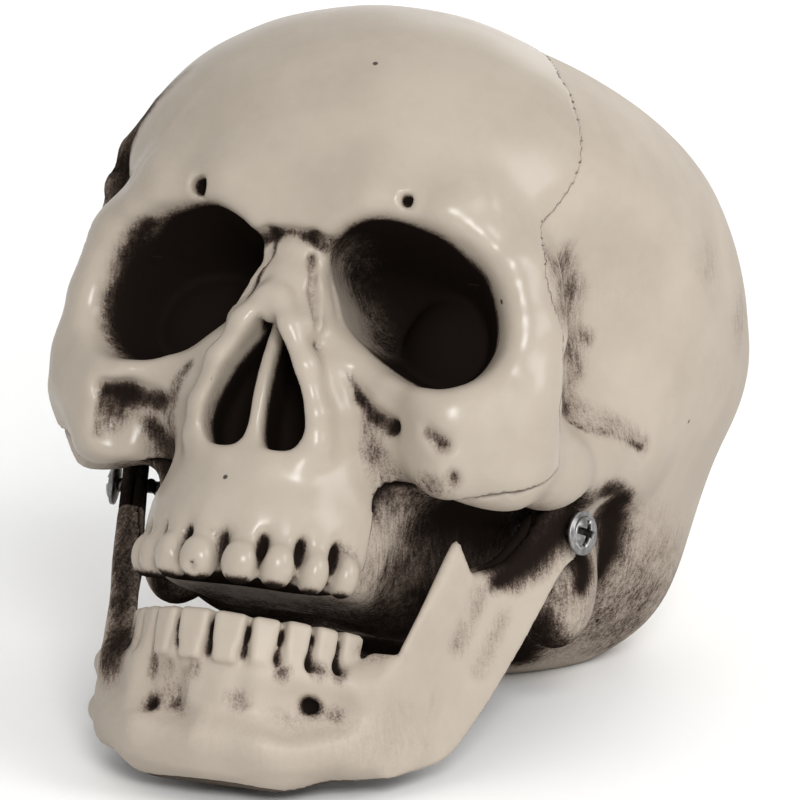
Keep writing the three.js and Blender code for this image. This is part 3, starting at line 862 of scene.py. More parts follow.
@dataclass(frozen=True)
class SkullForm:
    """The skull's outside: eggs for the braincase, rods for the ridges of the face, and its hollows."""

    wall: float = 2.8
    palate_drop: float = 27.0
    tooth_half_depth: float = 4.0
    upper_teeth: tuple[Tooth, ...] = (
        (4.8, -58.3, -24.5, 4.3, 4.8),
        (11.8, -55.6, -24.1, 3.8, 5.0),
        (17.8, -50.4, -23.7, 3.4, 5.0),
        (22.4, -45.2, -23.1, 3.2, 4.8),
    )
    root: Root = Root(back=(1.6, 3), up=(4, 12), width=(0.6, 0.35), draw_in=0.95)
    gaps: tuple[GapCut, ...] = (
        GapCut((1.3, 2.6, 3.2), ahead=1.8, up=3.8, blend=1.4),
        GapCut((0.6, 2.2, 5.5), ahead=3.4, up=-1.5, blend=0.8),
    )
    eye: Well = Well(
        (
            (8.4, 45.6), (11, 49.2), (16.4, 51.9), (22.8, 52.4), (31, 50.9), (37.9, 48.2), (43.4, 44.6),
            (47.5, 38), (48.9, 32.2), (48.4, 27.5), (45.4, 22.5), (40, 19), (34.8, 18.6), (28.7, 20.6),
            (20.9, 25), (14.4, 29.9), (11.1, 36), (8.6, 41.5),
        ),
        front=-50, floor=-19, corner=8, steps=4, drift=0.3, narrow=8, mouth=20,
    )
    nostril: Well = Well(
        (
            (1.5, 28.4), (3.6, 25), (5.8, 21.4), (8.4, 16.8), (10.8, 11), (11.8, 5.4), (10, 1.4),
            (6.4, 0.4), (3, 1.2), (1.6, 5), (1.5, 12), (1.4, 22),
        ),
        front=-72, floor=-42, corner=3, steps=8,
    )
    joint: Outline = (
        (-41.5, -6), (-39.7, -1.6), (-34.2, 2.4), (-25.5, 8.4), (-29.5, 14), (-33.8, 20), (-32.5, 28),
        (-35.6, 35.6), (-38.3, 40.4), (-40.2, 46), (-40, 51), (-36.6, 57), (-33.4, 61), (-31.2, 67),
        (-29.1, 73.4), (-27.3, 79.3), (-24.5, 87), (-21.4, 93.9), (-14.7, 101), (-10.5, 105),
    )
    joint_step: float = 0.25
    joint_soft: int = 7
    joint_past: float = 4.0

    def braincase(self) -> list[Step]:
        """The crown, forehead, parietal bumps, nape and base, with the temple pressed in."""
        return [
            join(Egg((0, 38, 53), (67, 80, 54)), 0.01),
            join(Egg((0, -12, 64), (58, 44, 44.4)), 22),
            join(Egg((30, 24, 71), (31, 42, 29)), 16),
            join(Egg((0, 55, 10), (54, 57, 35.5)), 20),
            join(Egg((0, 4, 4), (41, 34, 30)), 12),
            cut(Egg((66, -18, 46), (17, 26, 20)), 14),
        ]

    def ridges(self) -> list[Step]:
        """The brow, the eye's rim, the cheekbone and its arch, and the middle of the face, cut flat below.

        Returns:
            The steps, in order.
        """
        brow = Rod(((0, -45, 53.5, 8.5), (16, -48, 56, 7), (33, -44, 56, 7), (46, -35, 46.5, 6.5)))
        eye_side = Rod(((45.5, -38, 46, 6), (50, -34.5, 34, 6.6), (50.5, -34.5, 22, 7), (38, -43, 14, 6.4)))
        arch = Rod(((48.5, -30, 9, 8), (50, -12, 11, 7.5), (50, 6, 17, 7.5), (52, 24, 24, 8)))
        cheek_edge = Rod(((32, -42, 2.2, 3.2), (40, -42, 1.8, 3.8), (50, -34, 4.2, 4.4)), 5)
        rim = Rod(((14, -50, 52.8, 2.4), (23, -50.5, 56, 2.8), (32, -49, 55.4, 3.2), (39.5, -46, 52, 3.2),
                   (45.5, -42.5, 47, 3.2), (48.8, -40.5, 39.4, 3), (50, -39.5, 32, 3), (49.4, -40, 26, 3),
                   (46, -42, 19.6, 3), (40, -45.4, 15.8, 3), (34, -46.6, 15.4, 2.8),
                   (26.5, -45.5, 17.6, 2.4)), 3)
        below_palate = Slab((0, 14, -self.palate_drop - 50), (120, 170, 50), edge=0.1)
        return [
            join(brow, 8),
            join(eye_side, 10),
            join(rim, 3),
            join(Egg((40, -36.5, 9), (15.5, 12, 11), turn=30, power=2.3), 8),
            join(cheek_edge, 5),
            join(arch, 12),
            join(Egg((37, -24, 22), (14, 16, 18)), 8),
            join(Egg((36, -25, 32), (14, 17, 21)), 6),
            join(Egg((0, -28, 12), (33, 27, 34)), 8),
            join(Egg((0, -35, -15), (26.5, 24.5, 22)), 8),
            cut(Egg((28, -55.5, 2), (7.5, 9, 11), turn=25), 7),
            cut(Egg((61.8, -44, -2.9), (14, 18, 14)), 4, Side.RIGHT),
            cut(below_palate, 3),
        ]

    def nose(self) -> list[Step]:
        """The nasal bones, the raised rim around the nose holes and the ridge beside each eye.

        Returns:
            The steps, in order.
        """
        bridge = Rod(((0, -45, 47.5, 4.2), (0, -49.6, 39, 4.2), (0, -54.8, 32.4, 4)), 3)
        flank = Rod(((1.6, -47.4, 44.5, 2.4), (4.6, -50, 37, 3.2), (7.6, -53.2, 28, 3.4)), 3)
        rim = Rod(((1.6, -56.4, 31, 2.6), (5, -57, 26.4, 2.7), (9.8, -55.6, 18.4, 2.8), (13, -53, 8.8, 3),
                   (13.3, -51.7, 3, 3), (10.2, -51.4, -1.8, 3), (5, -52.6, -3.2, 3), (0, -53, -2.2, 3)), 2.5)
        tear = Rod(((6.6, -47.8, 41, 1.4), (8.8, -48.6, 33, 1.7), (11, -49, 25, 1.7)), 2)
        return [join(bridge, 3), join(flank, 3), join(rim, 3.5), join(tear, 2.5)]

    def teeth(self) -> list[Step]:
        """The knob-like upper teeth with their root ridges.

        Returns:
            The steps, in order.
        """
        steps = []
        for tooth, turn in zip(self.upper_teeth, arch_turns(self.upper_teeth)):
            x, y, z, wide, tall = tooth
            crown = Egg((x, y - 0.3, z), (wide, self.tooth_half_depth, tall), turn=turn, power=2.1)
            steps += [join(self.root.ridge(tooth), 3.5), join(crown, 0.9)]
        return steps

    def pits(self) -> list[Step]:
        """Creases and pits of cheeks, brow and a tooth, unlike on the two sides, and a dome in each socket.

        Returns:
            The steps, in order.
        """
        crease = Rod(((17.6, -50.4, 18.9, 0.7), (20.4, -48.4, 14.3, 0.9), (23.8, -46.2, 10.8, 1.2),
                      (27.6, -45.6, 9.6, 1.6)), 2)
        valley = Rod(((22.5, -48.5, 9, 1.5), (24, -47.5, 4, 2.2), (26.8, -46, -0.6, 3),
                      (30, -40.5, -5, 4)), 3)
        shelf = Rod(((38.5, -50.2, 11.2, 1.4), (33, -47.6, 10.8, 2), (27.5, -47, 10, 2.2)), 2)
        return [
            cut(crease, 2.5, Side.LEFT),
            cut(valley, 4, Side.LEFT),
            cut(Rod(((37.5, -50.6, 8.4, 1.1), (40.6, -49.8, 6.4, 1.7)), 2), 2.5, Side.LEFT),
            cut(Egg((43.1, -46.8, -0.4), (1.3, 2.2, 2.0)), 1.8, Side.LEFT),
            cut(Egg((38.4, -47.4, -4.2), (4, 2.6, 2.6)), 3, Side.LEFT),
            join(Egg((25.2, -52.2, 56.2), (3.2, 2, 3)), 2, Side.LEFT),
            cut(Egg((25.2, -54, 56.2), (1.4, 2, 1.6)), 1, Side.LEFT),
            join(Egg((30, -15, 29), (16, 15, 18.5)), 1.5),
            cut(Egg((32, -50, 4.4), (7.2, 4.4, 8), turn=25), 4, Side.RIGHT),
            cut(shelf, 2.5, Side.RIGHT),
            cut(Rod(((29, -46, 5, 1.8), (26.1, -44, 0.3, 2.6), (25.5, -42, -5, 3.4)), 3), 4, Side.RIGHT),
            cut(Egg((22.6, -55, 55.8), (2.0, 4.5, 2.2)), 1.2, Side.RIGHT),
            cut(Egg((4.8, -62.6, -27), (1.2, 2, 1.1)), 0.6, Side.RIGHT),
        ]

    def hollows(self) -> list[Step]:
        """The eye sockets, nose holes, creases and pits, and a wedge and a slot between neighbouring teeth.

        Returns:
            The steps, in order.
        """
        crease = Rod(((0, -53.4, 47.4, 1.2), (5, -52.6, 47, 1.4), (13, -50, 44, 1.2)), 1.5)
        groove = Rod(((4.4, -50.8, 43, 0.8), (7, -52.6, 35, 0.9), (9.4, -54, 28, 0.8)), 1)
        return [
            cut(self.eye, 4),
            cut(crease, 2.4),
            cut(groove, 1.6),
            cut(self.nostril, 1.2),
            *self.pits(),
            *gap_cuts(self.upper_teeth, self.gaps),
        ]

    def seam(self, y: Array, z: Array) -> Array:
        """Distance behind the joint between the two shells, a line in side view that wanders down the temple.

        The line's corners are rounded by a running mean, and the distance along y is divided by
        sqrt(1 + slope^2) to make it a distance across the line.

        Args:
            y, z: coordinates in the skull's frame, broadcast together.

        Returns:
            A field that is negative in front of the joint.
        """
        ys, zs = np.array(self.joint).T
        fine = np.arange(zs[0] - self.joint_past, zs[-1] + self.joint_past, self.joint_step)
        weights = np.hanning(2 * self.joint_soft + 1)
        line = np.pad(np.interp(fine, zs, ys), self.joint_soft, mode="edge")
        line = np.convolve(line, weights / weights.sum(), mode="valid")
        steep = np.interp(z, fine, np.gradient(line, fine))
        return (y - np.interp(z, fine, line)) / np.sqrt(1 + steep**2)


@dataclass
class FaceShell:
    """The face moulding: forehead, eye sockets, nose, cheekbones and upper teeth."""

    form: SkullForm
    cell: float = 0.85
    low: Point = (-66.0, -70.0, -33.0)
    high: Point = (66.0, -10.0, 110.0)
    cup_depth: float = -14.0
    cup_floor: float = 14.0
    wash: WashRule = WashRule(
        depth=(0.6, 4.5), crease=(0.1, 0.5), crease_share=0.95, hollow=(0.06, 0.45), hollow_share=0.55,
    )
    joint_share: float = 0.8
    joint_band: tuple[float, float] = (0.9, 0.1)
    facing_down: tuple[float, float] = (0.5, 0.9)
    palate_band: tuple[float, float] = (-22.0, -25.0)

    def smears(self) -> list[Smear]:
        """Patches of wash brushed on outside the hollows, and two wiped off: left socket and right cheek."""
        near, far, both = Side.LEFT, Side.RIGHT, Side.BOTH
        return [
            stroke(0.6, near, (17.6, -49.8, 18.9, 0.9), (20.4, -47.9, 14.3, 1.3),
                   (23.8, -45.7, 10.8, 1.8), (27, -45, 9.8, 2)),
            stroke(0.6, near, (23, -47, 8, 2), (24, -45.6, 4, 2.6), (26.8, -44, -0.3, 3.4),
                   (29.9, -39, -5, 5)),
            dab(0.8, near, (27.4, -44.6, 9.2), (1.8, 3, 1.5)),
            stroke(0.5, near, (37.5, -49.4, 8.5, 1.6), (40.5, -48.4, 6.2, 2.2)),
            dab(0.5, near, (43.1, -46.3, -0.4), (1.8, 3, 2.2)),
            dab(0.6, near, (37, -45, -2.5), (6, 6, 3.4)),
            stroke(0.55, near, (4.3, -50.6, 42, 1.3), (6, -52, 35.8, 1.5), (9.6, -55, 29, 1)),
            stroke(0.6, near, (8.5, -47, 40, 2), (10.2, -46.3, 34, 2.4), (12, -46, 28.5, 1.6)),
            stroke(0.85, near, (3, -51.5, 47, 1.4), (8.1, -50.2, 45.5, 2), (12, -47, 44, 2.6)),
            dab(-0.98, near, (9.5, -41, 34.5), (10, 17, 13)),
            stroke(0.95, far, (37.7, -48.4, 11, 1.6), (33, -46, 10.6, 2.2), (27, -45.6, 10.2, 2.6)),
            stroke(0.7, far, (38.4, -48.8, 9, 1.6), (38.3, -48.4, 1.5, 1.8)),
            dab(-0.6, far, (33, -46, 2.5), (4.6, 7, 5)),
            stroke(0.9, far, (28.6, -44.2, 5, 2.6), (26.1, -42.2, 0.3, 3.4), (25, -41, -5, 4)),
            stroke(0.85, far, (3.6, -51.5, 45.5, 1), (5, -54, 38, 1), (5.6, -56, 32, 0.8)),
            stroke(0.6, far, (19.3, -49.2, 17.8, 1.6), (21.2, -48.6, 14.4, 2), (24, -46, 9, 2.8),
                   (23, -45, 4, 3), (24, -43.5, 0, 3)),
            stroke(0.85, far, (3.6, -51.2, 46.8, 1.4), (8.8, -50, 45.6, 1.8), (13, -48, 44, 2.4)),
            stroke(0.4, both, (0, -58, -19.5, 2.6), (12, -54, -19, 2.6), (23, -46, -18, 2.6)),
            stroke(0.9, far, (37, -46, 48.5, 3), (41, -43, 46.5, 4), (43, -40, 43, 5),
                   (44, -38, 38, 5.4), (44, -37.5, 31.7, 5.4), (42, -39, 26, 4.6)),
            stroke(0.85, far, (37.5, -34, 83, 4.5), (42, -33, 79.5, 5), (46.5, -32, 75.5, 5.5),
                   (50.5, -31, 70, 5.5), (53, -30, 63, 5)),
        ]

    def build(self) -> bpy.types.Object:
        """Sculpts the face, keeps the shell in front of the joint and marks where wash lies.

        Returns:
            The piece.
        """
        form = self.form
        clay = Clay(self.low, self.high, self.cell, form.wall + 1)
        clay.sculpt(form.braincase() + form.ridges() + form.nose() + form.teeth())
        x, y, z = clay.grid()
        clay.value = (clay.value + hand_waves(x, y, z)).astype(np.float32)
        hull = clay.value.copy()
        clay.sculpt(form.hollows())
        shell = np.maximum(clay.value, -(clay.value + form.wall))
        cups = np.maximum(y - self.cup_depth, self.cup_floor - z)
        inner = np.maximum(hull + form.wall + FIT_GAP, cups)
        side = np.minimum(form.seam(y, z) + FIT_GAP / 2, inner)
        points, quads = skin_of(np.maximum(shell, side).astype(np.float32), clay)
        coats, ridge = self.wash.coats(clay, hull, points)
        off_joint = np.abs(form.seam(points[:, 1], points[:, 2]))
        coats.append(self.joint_share * smooth_step(*self.joint_band, off_joint))
        down = -clay.sample(np.gradient(clay.value, clay.cell, axis=2), points)
        coats.append(smooth_step(*self.facing_down, down) * smooth_step(*self.palate_band, points[:, 2]))
        marks = {"wash": layered(coats, self.smears(), points), "ridge": ridge}
        return mesh_piece("face_shell_skin", points, quads, marks)


@dataclass
class CraniumShell:
    """The moulding behind the joint: the rest of the braincase, the arches and the underside."""

    form: SkullForm
    cell: float = 1.4
    low: Point = (-75.0, -42.0, -34.0)
    high: Point = (75.0, 124.0, 112.0)
    lip: float = 0.6
    lip_reach: float = 5.0
    hinge_room: float = 8.6
    hinge_wall: float = 44.0
    wash: WashRule = WashRule(
        depth=(0.8, 4.0), crease=(0.1, 0.45), crease_share=0.9, hollow=(0.06, 0.4), hollow_share=0.6,
        crease_ball=2.4, hollow_ball=7.0,
    )
    cuts_from: float = 40.0

    def details(self) -> list[Step]:
        """The mastoid bumps, the block under the skull, and the joint's right edge, which stands proud.

        Returns:
            The steps, in order.
        """
        flange = Rod(((38, -18, 92, 1.8), (44, -19.5, 87, 2.4), (49.5, -21, 81.5, 2.8),
                      (56, -21.5, 70.5, 2.8), (57.5, -23, 62, 2.4), (57, -26, 55.5, 1.6)), 3)
        return [
            join(Egg((45.5, 18, -10.5), (8, 10, 12)), 13),
            join(Egg((18, -5, -15), (15, 22, 12)), 8),
            join(flange, 3, Side.RIGHT),
        ]

    def smears(self) -> list[Smear]:
        """Patches of wash brushed over the underside, around the hinge, and on the temple and arch, and
        painted shade that darkens the lower back and sides of the head.
        """
        near, far, both = Side.LEFT, Side.RIGHT, Side.BOTH
        return [
            dab(1.0, both, (18, -6, -18), (38, 36, 24)),
            dab(1.0, both, (34, -10, 0), (16, 27, 14)),
            dab(1.0, both, (40, 10, -27), (15, 14, 9)),
            dab(0.95, both, (0, 38, -24), (30, 17, 9)),
            dab(0.98, both, (50, 3, 4), (9, 9, 9)),
            stroke(0.85, both, (57, 6, 11.5, 2.8), (56.4, 14, 12.4, 3), (55.5, 24, 12.4, 2.6)),
            stroke(1.0, both, (54, 21, 10, 5), (51.8, 28, 8, 7), (50.3, 31, 2.5, 7), (49.6, 33, -3, 5)),
            stroke(1.0, both, (53, 10, 0, 6), (52.8, 13, -5, 5), (52.4, 13, -9, 3)),
            stroke(0.9, both, (49, 24, -12, 3), (46, 22, -20, 5), (44, 20, -26, 6)),
            stroke(0.9, both, (47, 8, -18, 3), (46, 14, -25, 5)),
            stroke(1.0, both, (40, 22, -22, 7), (34, 34, -21, 7), (27, 49, -21, 7)),
            stroke(0.45, near, (52.6, -37.5, 51, 4), (54.6, -35, 45, 4), (55.4, -34, 39, 4)),
            stroke(0.48, near, (49, -22, 54, 5), (48.8, -14, 48, 6.5), (48.3, -13, 43, 6),
                   (49, -9.5, 38.5, 5.5), (49.8, -6.5, 35, 4.5)),
            dab(0.45, near, (50.5, -4.6, 41.8), (3.5, 3.5, 2.5)),
            stroke(0.36, near, (50.2, -9, 25.5, 4), (55, -0.4, 24.6, 4), (58.2, 8, 24.6, 4),
                   (60, 15.5, 24, 3)),
            stroke(0.6, near, (51.9, -8.6, 21.7, 0.9), (56.1, -0.9, 22, 0.9), (59.9, 14.6, 22.7, 0.8)),
            stroke(0.9, far, (40, -21, 89, 6), (48.5, -23, 82, 7), (55, -23, 69.4, 7), (56, -25, 60, 7)),
            # Painted shade: a broad patch that darkens the lower back and sides of the head.
            dab(0.55, both, (45, 54, -6), (24, 48, 24)),
            dab(0.3, near, (60, 20, 66), (10, 9, 8)),
            dab(0.28, near, (63, 45, 60), (10, 10, 9)),
        ]

    def build(self) -> bpy.types.Object:
        """Sculpts the braincase, cuts it flat on the table and keeps the shell behind the joint.

        Returns:
            The piece.
        """
        form = self.form
        clay = Clay(self.low, self.high, self.cell, form.wall + 1)
        clay.sculpt(form.braincase() + form.ridges() + self.details())
        x, y, z = clay.grid()
        clay.value = np.maximum(clay.value + hand_waves(x, y, z), -over_table(y, z)).astype(np.float32)
        hull = clay.value.copy()
        seam = form.seam(y, z)
        clay.value = clay.value + (self.lip * np.exp(-((seam / self.lip_reach) ** 2))).astype(np.float32)
        clay.apply(cut(Drum(self.hinge_room, self.hinge_wall, OUTSIDE), 1.0))
        shell = np.maximum(clay.value, -(np.maximum(hull, clay.value) + form.wall))
        piece = np.maximum(shell, -FIT_GAP / 2 - seam)
        points, quads = skin_of(piece.astype(np.float32), clay)
        coats, ridge = self.wash.coats(clay, hull, points)
        coats[0] = coats[0] * (np.abs(points[:, 0]) > self.cuts_from)
        marks = {"wash": layered(coats, self.smears(), points), "ridge": ridge}
        return mesh_piece("cranium_shell_skin", points, quads, marks)


@dataclass(frozen=True)
class JawForm:
    """The jaw: side plates up to the hinge, a bar that bends round the chin, and the lower teeth."""

    span: float = 51.0
    splay: float = 24.8
    lean: float = 3.6
    right_lean: float = 6.2
    thickness: float = 6.4
    plate_edge: float = 1.6
    swells: tuple[Bead, ...] = ((-36, -40, 8, 0.8), (-31, -22, 7, 0.6), (-20, -36, 12, -0.5))
    bar: tuple[Bead, ...] = ((26, -34, -57, 5.4), (15, -43, -59.4, 7.6), (0, -47, -60, 8))
    corner_y: float = -26.0
    plate_end: float = 60.0
    corner_radius: float = 3.4
    eyelet: float = 7.3
    bore: tuple[float, float] = (40.0, 60.0)
    pilot: float = 2.2
    seat_radius: float = 5.3
    seat_floor: float = 53.7
    parting_z: float = -68.4
    parting_rise: float = 0.0068
    tooth_half_depth: float = 3.6
    lower_teeth: tuple[Tooth, ...] = (
        (3.8, -54, -40.2, 3.9, 5.4),
        (10.2, -52.2, -40, 3.2, 5.2),
        (15.2, -48.4, -39.4, 3, 5.0),
        (19.3, -43.8, -38.8, 2.8, 4.7),
        (22.6, -38.8, -38.2, 2.8, 4.4),
    )
    root: Root = Root(back=(1.4, 2.6), up=(-5, -12), width=(0.55, 0.35), draw_in=0.97)
    gaps: tuple[GapCut, ...] = (
        GapCut((0.55, 2, 5.6), ahead=3.4, up=0.5, blend=0.7),
        GapCut((1.1, 1.6, 1.8), ahead=3.8, up=-3.2, blend=1.4),
    )
    outline: Outline = (
        (-29, -10), (-26.5, -12), (-23, -15.4), (-18.5, -13.2), (-13.5, -9.5), (-9.5, -3.5), (-6, 4.5),
        (3.5, 5), (4.5, -2.5), (0.2, -8.5), (-3.6, -19), (-6.9, -29.5), (-12, -42.5), (-17, -52.5),
        (-23, -57.6), (-34, -62), (-40, -46), (-38, -36.5), (-34.6, -27), (-31.8, -19),
    )

    def plate(self, lean: float) -> Plate:
        """A side plate, a little thicker along its front edge and thinner in its middle."""
        half = self.thickness / 2
        return Plate(self.outline, self.span, self.splay, lean, half, self.plate_edge, self.swells)

    def body(self) -> list[Step]:
        """The two bars, the chin and its hollows, and the plates, the left one bevelled along its front.

        Returns:
            The steps, in order.
        """
        plate = self.plate(self.lean)
        back, radius = self.corner_y, self.corner_radius
        corner = [(float(plate.middle(back, z)), back, z, radius) for z in (-54, -44)]
        lower = Rod((corner[0], *self.bar))
        upper = Rod((corner[1], (25.5, -37, -46, 5.2), (14, -45.5, -47, 6), (0, -48.5, -47.5, 6)))
        bevel = Slab((29.5, -35.2, -22), (11.5, 11, 15), turn=23.3, edge=0.6, taper=0.687)
        crest = Rod(((0, -54.2, -61, 1.9), (14, -51.4, -60.6, 1.9), (24, -42.6, -58, 1.8),
                     (30.5, -35.4, -52, 1.4)))
        gum = Rod(((0, -53.2, -46, 1.9), (10, -51.2, -45.8, 1.9), (18.5, -45.4, -45, 1.8),
                   (25, -38.4, -44, 1.6)))
        return [
            join(lower, 0.01),
            join(upper, 6),
            join(Egg((0, -38.5, -61.5), (21, 14, 7.5)), 6),
            join(crest, 5),
            join(gum, 2.5),
            join(plate, 2.5, Side.LEFT),
            join(self.plate(self.right_lean), 2.5, Side.RIGHT),
            cut(bevel, 1, Side.LEFT),
            cut(Rod(((9.4, -56.6, -48, 3.6), (8, -57.6, -53, 4.8), (4, -59.4, -57, 3.6))), 3, Side.RIGHT),
            cut(Rod(((14.5, -55.5, -46.5, 4.2), (15, -55.5, -52, 4.6))), 3, Side.RIGHT),
            cut(Rod(((12, -58.5, -54, 4.4), (20, -53, -53.5, 4.4), (27, -46, -51, 4))), 4, Side.LEFT),
        ]

    def teeth(self) -> list[Step]:
        """Slab-like teeth that narrow downwards, each on a root ridge, with a web behind their gaps.

        Returns:
            The steps, in order.
        """
        row = ((0, *self.lower_teeth[0][1:]), *self.lower_teeth)
        web = Rod(tuple((x, y + 1.8, z - 1.6, 2.4) for x, y, z, _, _ in row))
        steps = [join(web, 2)]
        for tooth, turn in zip(self.lower_teeth, arch_turns(self.lower_teeth)):
            x, y, z, wide, tall = tooth
            crown = Slab((x, y, z), (wide, self.tooth_half_depth, tall), turn, edge=1.3, taper=0.25)
            steps += [join(self.root.ridge(tooth), 3.5), join(crown, 0.8)]
        return steps

    def hollows(self) -> list[Step]:
        """Gaps between teeth, pits in the chin, a groove in the left plate, and the screws' bores and seats.

        Returns:
            The steps, in order.
        """
        groove = Rod(((41.2, -28.4, -41, 0.5), (41.4, -26.8, -54, 0.9)), 1)
        return [
            *gap_cuts(self.lower_teeth, self.gaps),
            cut(Egg((20.1, -45.6, -50.8), (2, 3.2, 1.9)), 0.8, Side.LEFT),
            cut(Egg((12.8, -53, -54.8), (1.8, 3, 2.2)), 0.8, Side.RIGHT),
            cut(groove, 2, Side.LEFT),
            cut(Drum(self.pilot, *self.bore), 0.2),
            cut(Drum(self.seat_radius, self.seat_floor, OUTSIDE), 0.2),
        ]

    def parting(self, x: Array) -> Array:
        """Height of the line along the chin below which the moulding steps in, rising to the sides."""
        return self.parting_z + self.parting_rise * x**2

    def tongue_side(self, x: Array, y: Array, z: Array) -> Array:
        """Distance outside the middle line of the plates and bar, seen from above.

        Args:
            x, y, z: coordinates in the skull's frame, broadcast together.

        Returns:
            A field that is negative on the tongue side.
        """
        lean = math.tan(math.radians(self.lean))
        plate = self.plate(self.lean)
        bend = [(x - lean * z if x else 0, y) for x, y, z, _ in reversed(self.bar)]
        bend += [(float(plate.middle(end, 0)), end) for end in (self.corner_y, self.plate_end)]
        xs, ys = np.array(bend).T
        steep = np.interp(y, (ys[:-1] + ys[1:]) / 2, np.diff(xs) / np.diff(ys))
        across = np.abs(x) - lean * z - np.interp(y, ys, xs)
        return across / np.sqrt(1 + steep**2)


@dataclass
class JawShells:
    """The jaw's two mouldings: the outer one with chin, teeth and screw holes, and the tongue side."""

    form: JawForm
    cell: float = 0.75
    low: Point = (-60.0, -68.0, -76.0)
    high: Point = (60.0, 12.0, 12.0)
    skin: float = 2.0
    ledge: float = 0.45
    ledge_soft: float = 0.5
    wash: WashRule = WashRule(
        depth=(0.6, 3.0), crease=(0.1, 0.5), crease_share=0.95, hollow=(0.08, 0.45), hollow_share=0.5,
    )

    def smears(self) -> list[Smear]:
        """Patches of wash on the hinge, the side plates, the gums and the chin."""
        near, far, both = Side.LEFT, Side.RIGHT, Side.BOTH
        return [
            stroke(0.97, both, (53, -2, 3, 7), (50, -8, -6, 6), (47, -13, -12, 5), (45, -17, -15.5, 3)),
            stroke(0.3, near, (43.3, -21, -18.5, 3.4), (42, -23, -31, 3.6)),
            stroke(0.26, near, (46, -13, -22, 3), (44.5, -16, -34, 3.4)),
            stroke(0.3, near, (40.6, -28, -42, 1.2), (40.6, -26.6, -53, 1.4)),
            stroke(0.4, near, (28, -40, -37, 3), (33, -36, -37, 2.6)),
            dab(0.6, near, (16, -52.5, -45.5), (2.2, 3, 2.6)),
            dab(0.75, near, (21.2, -47.3, -43.6), (2.2, 3, 2.4)),
            dab(0.65, near, (25.2, -44, -43.2), (1.8, 3, 2.4)),
            dab(0.95, near, (20.3, -45.4, -50.8), (2.4, 3.6, 2.2)),
            dab(0.42, near, (7.1, -52.6, -52.2), (3.2, 3, 2.6)),
            dab(0.95, far, (12.8, -52.2, -54.8), (2.4, 3, 2.6)),
            dab(0.6, far, (13.6, -51, -47), (2, 3, 4)),
            dab(0.5, far, (3, -54.7, -47), (2.2, 3, 3)),
            dab(0.75, far, (27, -42, -44), (7, 9, 8)),
            stroke(0.8, far, (37.5, -28, -9, 5), (34, -32.5, -22, 5), (31, -37, -32, 5),
                   (27.5, -42, -42, 4)),
            stroke(0.42, far, (9.6, -53, -46.5, 2), (9.4, -53, -52, 2.4)),
            stroke(0.34, far, (5, -54, -48.5, 1.6), (5.4, -54, -56, 2)),
            stroke(1.0, both, (47.5, -7, 3, 4.5), (45.5, -9.6, -3.6, 4.5), (43.9, -13.1, -9.4, 4.5),
                   (42, -18, -14, 3)),
            dab(0.12, both, (0, -46, -60), (36, 20, 9)),
            dab(0.14, near, (32, -34, -52), (16, 16, 10)),
            stroke(0.5, both, (0, -52, -44.8, 1.8), (12, -50, -44.6, 1.8), (24, -38.5, -43, 1.8)),
        ]

    def build(self) -> tuple[bpy.types.Object, bpy.types.Object]:
        """Sculpts the jaw once and parts it along the middle of its plates and bar.

        Returns:
            The outer and the inner piece.
        """
        clay = Clay(self.low, self.high, self.cell, self.skin)
        clay.sculpt(self.form.body() + self.form.teeth())
        x, y, z = clay.grid()
        below = smooth_step(self.ledge_soft, -self.ledge_soft, z - self.form.parting(x))
        worked = clay.value + hand_waves(x, y, z) + self.ledge * below
        clay.value = np.maximum(worked, -over_table(y, z)).astype(np.float32)
        hull = clay.value.copy()
        clay.sculpt(self.form.hollows())
        tongue = self.form.tongue_side(x, y, z)
        crowns = Clay(self.low, self.high, self.cell, self.skin).sculpt(self.form.teeth())
        crowns.apply(join(Drum(self.form.eyelet, *self.form.bore), 0.1))
        outer_side = np.minimum(-tongue, crowns.value) + FIT_GAP / 2
        pieces = []
        for name, side in (("jaw_outer_skin", outer_side), ("jaw_inner_skin", FIT_GAP - outer_side)):
            points, quads = skin_of(np.maximum(clay.value, side).astype(np.float32), clay)
            coats, ridge = self.wash.coats(clay, hull, points)
            marks = {"wash": layered(coats, self.smears(), points), "ridge": ridge}
            pieces.append(mesh_piece(name, points, quads, marks))
        return pieces[0], pieces[1]


